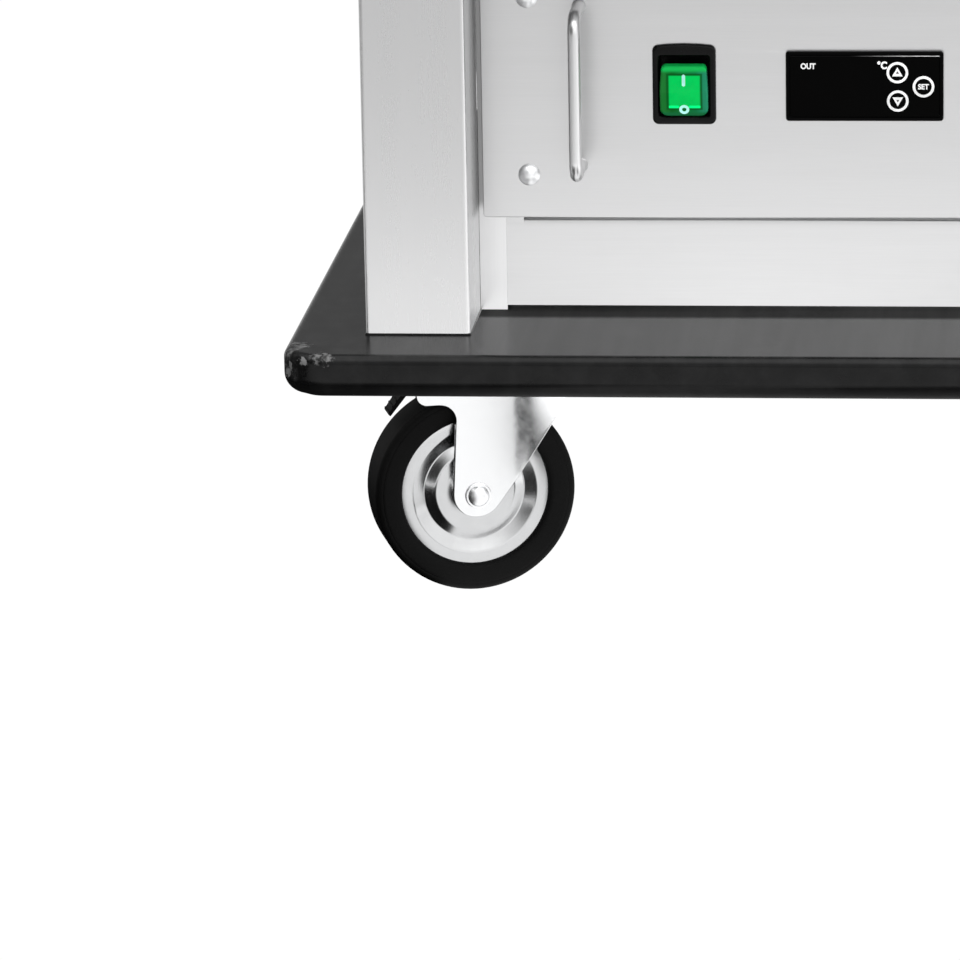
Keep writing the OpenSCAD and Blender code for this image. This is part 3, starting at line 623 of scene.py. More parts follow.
def make_finishes(colours):
    make_effects()
    steel, zinc, black, scuff, gloss = (
        tuple(getattr(colours, name)) for name in ("steel", "zinc", "moulding", "scuff", "gloss"))
    smear = (0.02, 0.02, 0.02)
    brushed_metal("steel upright", steel, 0.28, UPRIGHT)
    # the posts' flanks beside the control panel get painted shade
    brushed_metal("steel post", steel, 0.28, UPRIGHT, contrast=0.005, marks=0.2, depth=0.0000015, recess=0.6)
    brushed_metal("steel across", shade(steel, 1.04), 0.3, ACROSS)
    brushed_metal("steel frame", shade(steel, 1.05), 0.3, ACROSS)
    # painted light: the jamb is a brighter copy of the steel, and gets painted shade in its recess
    brushed_metal("steel jamb", shade(steel, 1.21), 0.3, UPRIGHT, recess=0.5)
    brushed_metal("steel deep", steel, 0.38, DEEP)
    brushed_metal("steel wire", shade(steel, 1.05), 0.34, UPRIGHT, 900.0, 0.02, 0.2)
    plated_metal("zinc pressing", zinc, 0.16, 0.012)
    plated_metal("zinc turned", shade(zinc, 1.2), 0.4, 0.015)
    plated_metal("wheel disc", tuple(colours.rim), 0.18, 0.02)
    brushed_metal("motor paint", (0.30, 0.31, 0.32), 0.5, EVEN, 300.0, 0.08)
    brushed_metal("heated tube", (0.26, 0.235, 0.215), 0.42, (1.0, 0.1, 1.0), 260.0, 0.16, 0.8)
    bumper_finish("bumper moulding", black, scuff)
    moulded("black moulding", black, 0.42, 1800.0, 0.00004, 0.2, scuff)
    moulded("pedal moulding", shade(black, 0.3), 0.5, 1800.0, 0.00004, 0.01, [c * 0.3 + 0.1 for c in black],
            Specular_IOR_Level=0.06)
    moulded("bezel moulding", shade(black, 0.35), 0.27, 2600.0, 0.00002, 0.03, scuff, Specular_IOR_Level=0.13)
    moulded("window gloss", gloss, 0.1, 900.0, 0.000002, 0.0, smear, Specular_IOR_Level=0.03)
    film_finish("film edge")
    moulded("key gloss", gloss, 0.2, 1500.0, 0.00001, 0.0, smear, Specular_IOR_Level=0.03)
    moulded("tyre rubber", tuple(colours.tyre), 0.62, 1300.0, 0.00008, 0.1, smear, Specular_IOR_Level=0.08)
    moulded("gasket rubber", (0.035, 0.035, 0.035), 0.7, 900.0, 0.0001, 0.3, (0.135, 0.135, 0.135))
    moulded("foam board", (0.72, 0.63, 0.36), 0.9, 500.0, 0.0004, 0.1, (0.8, 0.75, 0.6))
    moulded("white print", tuple(colours.mark), 0.5, 2500.0, 0.000005, 0.05, (0.85, 0.85, 0.85))
    moulded("pale print", (0.45, 0.95, 0.85), 0.4, 2500.0, 0.000005, 0.05, (0.4, 0.9, 0.8))
    rocker_finish("rocker green", tuple(colours.lamp))


# Which finish each carried-over node wears, by its slot, and the nodes whose grain runs another way,
# the bumper, and the posts and jamb with painted light and shade
SLOT_FINISH = {
    "steel": "steel upright", "zinc": "zinc pressing", "moulding": "black moulding", "gloss": "window gloss",
    "rocker": "rocker green", "tyre": "tyre rubber", "seal": "gasket rubber", "foam": "foam board",
    "motor": "motor paint", "element": "heated tube",
}
NODE_FINISH = {
    "lower_frame": "steel frame", "front_frame": "steel jamb", "roof_panel": "steel deep",
    "water_pan": "steel across", "air_grille": "steel deep", "base_bumper": "bumper moulding",
    "post_front_left": "steel post", "post_front_right": "steel post",
}


# ---- operators ----

class TROLLEY_OT_finish_nodes(bpy.types.Operator):
    """Gives every carried-over piece of the trolley its procedural finish"""
    bl_idname = "trolley.finish_nodes"
    bl_label = "Finish the carried-over pieces"

    def execute(self, context):
        make_finishes(context.scene.trolley_colours)
        for part in frame["record"]["subparts"]:
            node = frame["nodes"][part["node"]]
            worn = bpy.data.materials[NODE_FINISH.get(part["node"], SLOT_FINISH[part["material_slot"]])]
            if not node.material_slots:
                node.data.materials.append(worn)
            for place in node.material_slots:
                place.material = worn
        return {'FINISHED'}


class TROLLEY_OT_bumper(bpy.types.Operator):
    """Makes the moulded bumper base, with its soft edges and its knocked corners"""
    bl_idname = "trolley.bumper"
    bl_label = "Bumper base"

    def execute(self, context):
        sizes = context.scene.trolley_sizes
        low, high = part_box("base_bumper")
        top, under = sizes.base_top_edge, sizes.base_under_edge
        flat, knock_reach, knock_depth = 0.05, 0.03, 0.0028
        section = [(under * (1 - math.sin(a)), low.z + under * (1 - math.cos(a))) for a in quarter(10)]
        section += [(top * (1 - math.cos(a)), high.z - top * (1 - math.sin(a))) for a in quarter(10)]
        bm = bmesh.new()
        rings = [level(rounded_rect(high.x - inset, high.y - inset, sizes.base_corner - inset, steps=24), z)
                 for inset, z in section]
        rings.append(level(rounded_rect(high.x - flat, high.y - flat, 0.004, steps=24), high.z))
        skin(bm, rings)
        for v in bm.verts:
            from_corner = math.hypot(high.x - abs(v.co.x), high.y - abs(v.co.y))
            if from_corner < knock_reach:
                knock = max(0.0, noise.noise(v.co * 110.0) - 0.12) * (1 - from_corner / knock_reach)
                inward = Vector((-math.copysign(1, v.co.x), -math.copysign(1, v.co.y), 0)).normalized()
                v.co += inward * knock * knock_depth
        base = add_piece("bumper_moulding", bm, "cabinet", "moulding", "bumper moulding", "base_bumper",
                         sharp=60)
        base.visible_glossy = False     # the photo's steel shows no dark reflection of the base
        return {'FINISHED'}


class TROLLEY_OT_control_panel(bpy.types.Operator):
    """Makes the folded control panel and its domed screws"""
    bl_idname = "trolley.control_panel"
    bl_label = "Control panel"

    def execute(self, context):
        sizes = context.scene.trolley_sizes
        panel = Box("heater_panel")
        face, side = panel.low.y, panel.high.x
        depth, behind = 0.0015, 0.0003
        outline = rounded_rect(side, panel.half_h, sizes.fold, 0, panel.z)
        cuts = [outline]
        for node, inset_w, inset_h in (("thermostat_case", 0.002, 0.0025), ("switch_housing", 0.002, 0.002)):
            hole = Box(node)
            cuts.append(rounded_rect(hole.half_w - inset_w, hole.half_h - inset_h, 0.001, hole.x, hole.z, 3))
        bm = cut_sheet(cuts, depth, 0.0004)
        bm.transform(facing_front(0, face + depth / 2, 0))
        inner = rounded_rect(side - sizes.sheet, panel.half_h - sizes.sheet, 0.0006, 0, panel.z)
        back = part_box("front_frame")[0].y - behind
        skin(bm, [upright(outline, face + depth / 2), upright(outline, back), upright(inner, back),
                  upright(inner, face + depth / 2)], loop=True)
        add_piece("control_panel", bm, "heater_module", "steel", "steel across", "heater_panel")

        low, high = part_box("panel_screws")
        head, dome, rim = 0.00525, sizes.screw_dome, 0.0004
        curve = (head ** 2 + (dome - rim) ** 2) / (2 * (dome - rim))
        reach = math.asin(head / curve)
        profile = [(0.0025, -0.0085), (0.0025, -0.0001), (head - 0.0001, -0.0001), (head, 0.0002)]
        profile += [(curve * math.sin(reach * k / 10), dome - curve * (1 - math.cos(reach * k / 10)))
                    for k in range(10, 0, -1)] + [(0, dome)]
        bm = bmesh.new()
        for x in (low.x + head, high.x - head):
            for z in (low.z + head, high.z - head):
                turned(bm, profile, facing_front(x, face, z), 48)
        add_piece("panel_screw_heads", bm, "heater_module", "zinc", "zinc turned", "panel_screws")
        return {'FINISHED'}


class TROLLEY_OT_rail_lip(bpy.types.Operator):
    """Rolls the lip along the lower rail and closes the slot's ends at the jambs"""
    bl_idname = "trolley.rail_lip"
    bl_label = "Rail lip"

    def execute(self, context):
        low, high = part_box("lower_frame")
        radius, raised, clear, tab_half = 0.0025, 0.001, 0.0002, 0.0043
        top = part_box("heater_panel")[0].z - 0.002
        opening = high.x - 0.010
        section = [(low.y + radius * (1 + math.cos(a)), top + raised - radius * (1 - math.sin(a)))
                   for a in (math.pi * k / 12 for k in range(13))]
        foot = top - radius - 0.0004
        section += [(low.y, foot), (low.y + 2 * radius, foot)]
        bm = bmesh.new()
        skin(bm, [[Vector((x, y - clear, z)) for y, z in section]
                  for x in (-opening + clear, opening - clear)])
        tab = rounded_rect(tab_half, 0.0022, 0.0004, 0, top + 0.0004)
        for s in (-1, 1):
            x = s * (opening - tab_half)
            skin(bm, [[Vector((x + px, y, pz)) for px, pz in tab] for y in (low.y - 0.0005, low.y + 0.0012)])
        add_piece("rolled_rail_lip", bm, "cabinet", "steel", "steel frame")
        return {'FINISHED'}


class TROLLEY_OT_post_foot_shadow_bead(bpy.types.Operator):
    """Runs a thin black bead round the foot of each front post, a painted shadow line where the post meets the
    base
    """
    bl_idname = "trolley.post_seals"
    bl_label = "Post seals"

    def execute(self, context):
        bm = bmesh.new()
        for post in (Box("post_front_left"), Box("post_front_right")):
            skin(bm, [level(rounded_rect(post.half_w + grow, post.half_d + grow, 0.001, post.x, post.y),
                            post.low.z + z)
                      for grow, z in mm([(-0.8, 0), (0.4, 0), (0.3, 0.5), (0, 0.8), (-0.8, 0.8)])], loop=True)
        # painted shadow: a black bead for the dark contact line at each post's foot
        add_piece("post_foot_seals", bm, "cabinet", "seal", "bezel moulding")
        return {'FINISHED'}


class TROLLEY_OT_wire_handles(bpy.types.Operator):
    """Bends the two wire handles and welds them to the control panel"""
    bl_idname = "trolley.wire_handles"
    bl_label = "Wire handles"

    def execute(self, context):
        sizes = context.scene.trolley_sizes
        low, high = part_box("wire_handles")
        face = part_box("heater_panel")[0].y
        thick, bend, bead, sunk, straight = 0.003, sizes.wire_bend, sizes.bead, 0.0005, 0.004
        y, top, bottom, root = low.y, high.z - thick - 0.001, low.z + thick - 0.0012, thick - 0.0002
        weld = [(root, 0.0015), (thick + bead * 0.2, 0.0009), (thick + bead * 0.6, 0.0004),
                (thick + bead, 0.0001), (thick + bead, -0.0002), (root, -0.0002)]
        bm = bmesh.new()
        for x in (low.x + thick, high.x - thick):
            path = [(x, face + sunk, top), (x, face - straight, top)]
            path += arc((x, y + bend, top - bend), (0, 0, 1), (0, -1, 0), bend)
            path += [(x, y, top + (bottom - top) * k / 6) for k in range(1, 6)]
            path += arc((x, y + bend, bottom + bend), (0, -1, 0), (0, 0, -1), bend)
            path += [(x, face - straight, bottom), (x, face + sunk, bottom)]
            swept(bm, path, thick)
            for z in (top, bottom):
                turned(bm, weld, facing_front(x, face, z), 32, loop=True)
        add_piece("bent_wire_handles", bm, "heater_module", "zinc", "steel wire", "wire_handles")
        return {'FINISHED'}


def arched(half_w, low, high, radius, arch=0.0):
    """An upright outline with a slightly arched top; its corners have one radius."""
    return rounded_outline([
        (-half_w, low, radius), (half_w, low, radius), (half_w, high - arch, radius),
        (half_w / 2, high - arch * 0.25, 0), (0, high, 0), (-half_w / 2, high - arch * 0.25, 0),
        (-half_w, high - arch, radius)])


class TROLLEY_OT_rocker_switch(bpy.types.Operator):
    """Makes the rocker switch: its arched bezel with the well, the green cap and its marks"""
    bl_idname = "trolley.rocker_switch"
    bl_label = "Rocker switch"

    def execute(self, context):
        self.make_bezel()
        self.make_cap()
        return {'FINISHED'}

    def make_bezel(self):
        housing = Box("switch_housing")
        front, half_h = housing.low.y, housing.half_h + 0.0004
        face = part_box("heater_panel")[0].y
        # how far in from the housing's edge, depth, corner radius and arch of each ring, then of the well's
        rim = [(2.2, housing.high.y, 1, 0), (2.2, face, 1, 0), (0.1, face, 3, 1), (0, face - 0.0004, 3, 1),
               (0.2, face - 0.0013, 2.8, 1), (0.7, face - 0.0018, 2.4, 0.9), (1.4, front, 1.9, 0.8)]
        rings = [(arched(housing.half_w - inset * MM, -half_h + inset * MM, half_h - inset * MM,
                         radius * MM, arch * MM), y) for inset, y, radius, arch in rim]
        centre = joint_of("rocker_tilt")["pos_m"][2] - housing.z
        for half_w, foot, head, radius, y in ((12.6, 0.8, 1.0, 1.6, 0.1), (12.1, 0.2, 0.4, 1.2, 0.6),
                                              (11.9, 0, 0, 1, 1.6), (11.9, 0, 0, 1, 15.5)):
            rings.append((arched(half_w * MM, centre - (14.45 + foot) * MM, centre + (14.45 + head) * MM,
                                 radius * MM), front + y * MM))
        bm = bmesh.new()
        skin(bm, [[Vector((housing.x + px, y, housing.z + pz)) for px, pz in points] for points, y in rings])
        add_piece("switch_bezel", bm, "heater_module", "moulding", "bezel moulding", "switch_housing")

    def make_cap(self):
        tilt = (Matrix.Translation(joint_of("rocker_tilt")["pos_m"])
                @ Matrix.Rotation(math.radians(6), 4, 'X'))
        curve, round_edge, lift = 0.048, 0.0012, 0.0001

        def crown(z):
            return 0.044 - math.sqrt(curve ** 2 - z ** 2)

        def cap_outline(inset):
            foot, head = -0.0142 + inset, 0.0110 - inset
            foot_radius, head_radius = (max(radius - inset, 0.0006) for radius in (0.0038, 0.0024))
            return rounded_outline([
                (-0.0115 + inset, foot, foot_radius), (0.0115 - inset, foot, foot_radius),
                (0.0115 - inset, -0.0015, 0.02), (0.0108 - inset, head, head_radius),
                (-0.0108 + inset, head, head_radius), (-0.0115 + inset, -0.0015, 0.02)], 5)

        def on_cap(points, drop):
            return [tilt @ Vector((px, crown(pz) + drop, pz)) for px, pz in points]

        def flat(points, y):
            return [tilt @ point for point in upright(points, y)]

        rings = [flat(cap_outline(0), 0.0019)]
        rings += [on_cap(cap_outline(round_edge * (1 - math.cos(a))), round_edge * (1 - math.sin(a)))
                  for a in quarter(5)]
        rings += [on_cap([(px * shrink, (pz + 0.0016) * shrink - 0.0016)
                          for px, pz in cap_outline(round_edge)], 0)
                  for shrink in (0.92, 0.8, 0.65, 0.48, 0.3, 0.14)]
        bm = bmesh.new()
        skin(bm, rings)
        stem = flat(rounded_rect(0.0110, 0.0066, 0.0006), 0.0018)
        skin(bm, [stem, [p + Vector((0, 0.005, 0)) for p in stem]])
        add_piece("rocker_cap", bm, "rocker", "rocker", "rocker green", "switch_rocker", sharp=40)

        bm = bmesh.new()
        bar = []
        for k in range(13):
            along = k / 6 - 1
            z = 0.0043 + 0.0029 * along
            half = 0.0008 * math.sqrt(max(0.05, 1 - max(0.0, abs(along) - 0.75) ** 2 / 0.0625))
            bar.append([tilt @ Vector((px, crown(z) + drop, z))
                        for px, drop in ((-half, lift), (-half, -0.00006), (half, -0.00006), (half, lift))])
        skin(bm, bar)
        outer, inner = (ring(radius, 40, 0.0001, -0.0104) for radius in (0.0024, 0.0010))
        skin(bm, [on_cap(outer, lift), on_cap(outer, -0.00005), on_cap(inner, -0.00005), on_cap(inner, lift)],
             loop=True)
        add_piece("rocker_marks", bm, "rocker", "rocker", "pale print")


class TROLLEY_OT_thermostat(bpy.types.Operator):
    """Makes the thermostat: its case, its window, three keys and the print on them"""
    bl_idname = "trolley.thermostat"
    bl_label = "Thermostat"

    def execute(self, context):
        sizes = context.scene.trolley_sizes
        case = Box("thermostat_case")
        low, high, half_w = case.low, case.high, case.half_w
        half_h, middle = case.half_h - 0.0004, case.z - 0.0009
        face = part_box("heater_panel")[0].y
        rim, window_y, depth = 0.002, low.y + sizes.window_step, sizes.print_height

        def at(inset, y, radius=0.0015, inset_h=None):
            inset_h = inset if inset_h is None else inset_h
            return upright(rounded_rect(half_w - inset, half_h - inset_h, radius, 0, middle), y)

        def add_print(name, bm, body="heater_module", look="white print"):
            add_piece(name, bm, body, "gloss", look)

        bm = bmesh.new()
        skin(bm, [at(0.0022, high.y, inset_h=0.0027), at(0.0022, face, inset_h=0.0027), at(0.0001, face),
                  at(0, face - 0.0003), at(0, low.y + 0.0007), at(0.0002, low.y + 0.0002, 0.0014),
                  at(0.0007, low.y, 0.001), at(rim - 0.0003, low.y, 0.0006), at(rim, low.y + 0.0003, 0.0005),
                  at(rim, face + 0.001, 0.0005)])
        add_piece("thermostat_shell", bm, "heater_module", "gloss", "key gloss", "thermostat_case")

        keys = {name: Box("button_" + name) for name in ("up", "down", "set")}
        centres = {name: (key.x - 0.0006, key.z - 0.0008) for name, key in keys.items()}
        radius = keys["up"].half_w
        bm = cut_sheet([rounded_rect(half_w - rim - 0.0001, half_h - rim - 0.0001, 0.0005, 0, middle)]
                       + [ring(radius + 0.0002, 48, *centre) for centre in centres.values()], 0.0009, 0.0001)
        bm.transform(facing_front(0, window_y + 0.00045, 0))
        add_piece("thermostat_window", bm, "heater_module", "gloss", "window gloss")

        proud, thick = window_y - 0.0002, 0.0027
        for name, (x, z) in centres.items():
            bm = bmesh.new()
            turned(bm, [(0, thick), (radius - 0.0004, thick), (radius, thick - 0.0003), (radius, 0.0002),
                        (radius - 0.0002, 0), (0, 0)], facing_front(x, proud + thick, z), 48)
            add_piece("key_" + name, bm, name + "_key", "gloss", "key gloss", "button_" + name)

            shapes = [(ring(0.00515, 48, x, z), ring(0.0039, 48, x, z))]
            if name != "set":
                turn = 1 if name == "up" else -1
                shapes.append([[(x - 0.00255 * grow, z - turn * 0.0018 * grow),
                                (x + 0.00255 * grow, z - turn * 0.0018 * grow), (x, z + turn * tip)]
                               for grow, tip in ((1.0, 0.0026), (0.28, 0.0007))])
            bm = bmesh.new()
            for outer, inner in shapes:
                skin(bm, [upright(outer, proud + depth), upright(outer, proud - depth),
                          upright(inner, proud - depth), upright(inner, proud + depth)], loop=True)
            if name == "set":
                take(bm, lettering("SET", 0.0052, 0.0027, (x, z), proud, depth))
            add_print("print_" + name, bm, name + "_key")

        bm = lettering("OUT", 0.0072, 0.0029, (-0.0268, middle + 0.0098), window_y, depth)
        take(bm, lettering("°C", 0.0046, 0.0039, (0.0084, middle + 0.0103), window_y, depth))
        add_print("print_window", bm)

        # the film's cut edge along the window's top, which carries a painted highlight
        top = middle + half_h - rim
        section = mm([(0.2, 0), (-0.12, -0.05), (-0.16, -0.3), (0.2, -0.6)])
        bm = bmesh.new()
        skin(bm, [[Vector((px, window_y + py, top + pz)) for py, pz in section]
                  for px in (-half_w + rim, 0, half_w - rim)])
        add_print("window_film_edge", bm, look="film edge")
        return {'FINISHED'}


def wheel_frame(corner):
    """A castor's wheel frame: X forward along the fork, Y up, Z out towards the bolt's head."""
    spin = joint_of("wheel_spin_" + corner)
    ahead = Vector((spin["axis"][1], -spin["axis"][0], 0))
    up = Vector((0, 0, 1))
    return Matrix.Translation(spin["pos_m"]) @ Matrix((ahead, up, ahead.cross(up))).transposed().to_4x4()


class TROLLEY_OT_castor_forks(bpy.types.Operator):
    """Presses the four castor forks and makes their axle bolts"""
    bl_idname = "trolley.castor_forks"
    bl_label = "Castor forks"

    NOSE = [(-13.0, -10.9, 11.3), (6.0, -10.9, 12.5), (21.6, 10.0, 70), (40.8, 36.8, 120), (47.4, 48.0, 60),
            (55.3, 60.8, 0)]
    BRAKED_BACK = [(-30, 60.8, 1), (-30, 46.7, 5), (-10.0, 46.7, 8.4)]
    PLAIN_BACK = [(-9.5, 60.8, 1), (-10.0, 39.0, 30)]
    BOLT = [(0, 24.2), (1.2, 24.15), (2.2, 24.0), (3.2, 23.7), (4.2, 23.15), (4.95, 22.5), (5.25, 21.7),
            (5.3, 21.25), (6.1, 21.2), (6.5, 20.9), (6.5, 20.0), (4.0, 19.9), (4.0, -27.9), (3.5, -28.5),
            (0, -28.5)]
    WASHER = [(4.0, -20.0), (8.2, -20.0), (8.5, -20.3), (8.5, -20.9), (8.2, -21.2), (4.0, -21.2)]
    NUT = [(4.0, -21.2), (7.1, -21.2), (7.5, -21.7), (7.5, -26.2), (7.1, -26.7), (4.0, -26.7)]
    PLATE = [(6.1, 0), (33.6, 0), (34, 0.4), (34, 2.6), (33.6, 3), (6.1, 3)]

    def cheek(self, braked, bend):
        """One cheek: cut flat, then bent in towards the nose and over towards the top plate."""
        outline = rounded_outline(mm(self.NOSE + (self.BRAKED_BACK if braked else self.PLAIN_BACK)), 8)
        bm = cut_sheet([outline], 0.003, 0.0005)
        bend_from, over_from, over_radius, out = 0.018, 0.0568, 0.004, 0.0185
        cuts = [(spot, (1, 0, 0)) for spot in mm((15 + 1.25 * k, 0, 0) for k in range(34))]
        cuts += [(spot, (0, 1, 0)) for spot in mm((0, y, 0) for y in (56.8, 57.8, 58.8, 59.6, 60.2))]
        for spot, normal in cuts:
            bmesh.ops.bisect_plane(bm, geom=bm.verts[:] + bm.edges[:] + bm.faces[:],
                                   plane_co=spot, plane_no=normal)
        for v in bm.verts:
            along = max(0.0, v.co.x - bend_from)
            over = max(0.0, v.co.y - over_from)
            lean = bend - math.sqrt(bend ** 2 - along ** 2)
            lean += over_radius - math.sqrt(max(0.0, over_radius ** 2 - over ** 2))
            v.co.z += out - lean
        return bm

    def execute(self, context):
        bend = context.scene.trolley_sizes.fork_bend
        for corner in CORNERS:
            place = wheel_frame(corner)
            bm = bmesh.new()
            for flip in (1, -1):
                take(bm, self.cheek(corner.startswith("front"), bend),
                     place @ Matrix.Diagonal((1, 1, flip, 1)))
            for_plate = place @ Matrix.Translation((0.0345, 0.0578, 0)) @ Matrix.Rotation(
                math.radians(-90), 4, 'X')
            turned(bm, mm(self.PLATE), for_plate, 48, loop=True)
            saddle = rounded_rect(0.0172, 0.0164, 0.0012, 0.0077, 0)
            skin(bm, [[place @ point for point in upright(saddle, y)] for y in (0.0579, 0.0607)])
            add_piece("pressed_fork_" + corner, bm, "castor_" + corner, "zinc", "zinc pressing",
                      "fork_" + corner, sharp=40)

            bm = bmesh.new()
            turned(bm, mm(self.BOLT), place, 64)
            turned(bm, mm(self.WASHER), place, 64, loop=True)
            turned(bm, mm(self.NUT), place, 6, loop=True)
            add_piece("axle_bolt_" + corner, bm, "castor_" + corner, "zinc", "zinc turned", "axle_" + corner)
        return {'FINISHED'}


class TROLLEY_OT_wheels(bpy.types.Operator):
    """Turns the four tyres and the pressed discs they sit on"""
    bl_idname = "trolley.wheels"
    bl_label = "Wheels"

    DISC = [(4.06, 16.6), (8.5, 16.6), (9.0, 16.2), (9.2, 14.4), (10.2, 12.7), (12.0, 11.9), (15.0, 11.55),
            (19.2, 11.5), (20.1, 11.4), (20.7, 11.15), (22.8, 10.0), (24.7, 8.98), (25.1, 8.85), (25.5, 8.95),
            (28.2, 10.1), (30.5, 11.1), (31.2, 11.4), (32.0, 11.5), (34.0, 11.5), (36.5, 11.5), (36.8, 11.3),
            (36.8, 8.0)]
    TREAD = [(36.8, 11.6), (36.9, 12.4), (37.3, 13.3), (38.2, 14.1), (39.6, 14.55), (42.0, 14.85),
             (45.2, 15.0), (46.2, 14.95), (46.55, 14.6), (46.9, 14.7), (47.7, 14.55), (48.7, 14.1),
             (49.45, 13.3), (49.85, 12.2), (50.0, 10.8), (50.0, 5.0)]

    def execute(self, context):
        steps = context.scene.trolley_sizes.turned_steps
        for corner in CORNERS:
            for name, half, slot, look, node in (
                    ("pressed_disc_", self.DISC, "zinc", "wheel disc", "rim_"),
                    ("rubber_tyre_", self.TREAD, "tyre", "tyre rubber", "tyre_")):
                profile = mm(half + [(r, -z) for r, z in reversed(half)])
                bm = bmesh.new()
                turned(bm, profile, wheel_frame(corner), steps, loop=True)
                add_piece(name + corner, bm, "wheel_" + corner, slot, look, node + corner, sharp=50)
        return {'FINISHED'}


class TROLLEY_OT_brake_pedals(bpy.types.Operator):
    """Moulds the two brake pedals with their ribbed toes"""
    bl_idname = "trolley.brake_pedals"
    bl_label = "Brake pedals"

    LEVER = [(-1.0, 2.2, 0.8), (-7.5, -1.0, 3), (-12.5, -7.5, 4), (-17.7, -15.1, 0.5), (-16.6, -16.2, 0.4),
             (-8.0, -5.7, 4), (1.0, -2.2, 0.8)]
    PIN = [(0, -20), (2, -20), (2, -9.5), (2.2, -9.4), (2.2, 9.4), (2, 9.5), (2, 20), (0, 20)]

    def execute(self, context):
        for side in ("left", "right"):
            place = wheel_frame("front_" + side) @ Matrix.Translation((-0.024, 0.0553, 0))
            bm = bmesh.new()
            take(bm, cut_sheet([rounded_outline(mm(self.LEVER), 4)], 0.013, 0.0006), place)
            turned(bm, mm(self.PIN), place, 32)
            for k in range(3):
                spot = Vector((-13.2 - 1.9 * k, -8.7 - 2.75 * k, 0)) * MM
                turned(bm, mm([(0, -5.8), (0.6, -5.5), (0.6, 5.5), (0, 5.8)]),
                       place @ Matrix.Translation(spot), 16)
            add_piece("pedal_lever_" + side, bm, "brake_" + side, "moulding", "pedal moulding",
                      "brake_pedal_" + side)
        return {'FINISHED'}


class TROLLEY_OT_door(bpy.types.Operator):
    """Folds the door's skin and runs the ribbed gasket round its back"""
    bl_idname = "trolley.door"
    bl_label = "Door"

    BULB = [(0, 0), (0, 0.35), (0.4, 0.5), (0.4, 0.65), (0.1, 0.8), (0.6, 0.97), (1.6, 1.0), (3.0, 0.95),
            (4.4, 1.0), (5.4, 0.97), (5.9, 0.8), (5.6, 0.65), (5.6, 0.5), (6.0, 0.35), (6.0, 0)]

    def execute(self, context):
        def around(box, inset, y, radius):
            return upright(rounded_rect(box.half_w - inset, box.half_h - inset, radius, 0, box.z), y)

        sheet, fold = context.scene.trolley_sizes.sheet, 0.0025
        door = Box("door_skin")
        front, back = door.low.y, door.high.y
        rings = [around(door, sheet, front + sheet, 0.001), around(door, sheet, back, 0.001),
                 around(door, 0, back, 0.002)]
        rings += [around(door, fold * (1 - math.cos(a)), front + fold * (1 - math.sin(a)), 0.002)
                  for a in quarter(5)]
        bm = bmesh.new()
        skin(bm, rings)
        add_piece("folded_door_skin", bm, "door", "steel", "steel upright", "door_skin", sharp=40)

        gasket = Box("door_gasket")
        depth = gasket.high.y - gasket.low.y
        bm = bmesh.new()
        skin(bm, [around(gasket, inset * MM, gasket.low.y + depth * deep, 0.001)
                  for inset, deep in self.BULB], loop=True)
        add_piece("bulb_gasket", bm, "door", "seal", "gasket rubber", "door_gasket", sharp=50)
        return {'FINISHED'}


class TROLLEY_OT_latch(bpy.types.Operator):
    """Makes the door latch: its lever with spindle and tongue, its housing and the housing's screws"""
    bl_idname = "trolley.latch"
    bl_label = "Door latch"

    HUB = [(0, 0), (10, 0), (13, -1), (14.6, -3), (15, -5), (15, -15), (14, -17), (6, -17.2), (6, -20.2),
           (12, -16.1), (12, -22.9), (6, -23)]
    LEVER = [(-10, -11, 9), (60, -9.5, 40), (110, -11, 10), (110, 11, 10), (60, 9.5, 40), (-10, 11, 9)]
    LEVER_RINGS = [(2, 10.0), (0.6, 9.5), (0, 8.0), (0, 3.6), (0.6, 1.8), (1.8, 0.6), (3.4, 0.1)]
    SCREW = [(0.1, -0.1), (4.0, -0.1), (3.8, 0.8), (2.8, 1.4), (0.6, 1.6), (0.1, 1.0)]

    def execute(self, context):
        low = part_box("latch_handle")[0]
        x, _, z = joint_of("latch_turn")["pos_m"]
        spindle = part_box("door_skin")[0].y - low.y - 0.0003
        bm = bmesh.new()
        turned(bm, mm(self.HUB) + [(0.006, -spindle), (0, -spindle)], facing_front(x, low.y, z), 64)
        lever = rounded_outline(mm(self.LEVER), 8)
        middle, half_long, half_tall = 0.05, 0.06, 0.011
        skin(bm, [[Vector((x + middle + (px - middle) * (1 - shrink / half_long), low.y + y,
                           z + pz * (1 - shrink / half_tall)))
                   for px, pz in lever] for shrink, y in mm(self.LEVER_RINGS)])
        tongue = rounded_rect(0.010, (z - low.z) / 2, 0.003, x, (z + low.z) / 2)
        skin(bm, [upright(tongue, low.y + y) for y in (0.020, 0.023)])
        add_piece("latch_lever", bm, "latch", "moulding", "black moulding", "latch_handle", sharp=40)

        case = Box("latch_housing")
        front = case.low.y
        bm = bmesh.new()
        steps = ((0, case.high.y), (0, front + 0.001), (0.3, front + 0.0003), (1.0, front))
        skin(bm, [upright(rounded_rect(case.half_w - inset * MM, case.half_h - inset * MM,
                                       (8 - inset) * MM, x, z), y) for inset, y in steps])
        for s in (-1, 1):
            turned(bm, mm(self.SCREW), facing_front(x, front, z + s * 0.034), 24)
        add_piece("latch_case", bm, "door", "zinc", "zinc pressing", "latch_housing")
        return {'FINISHED'}


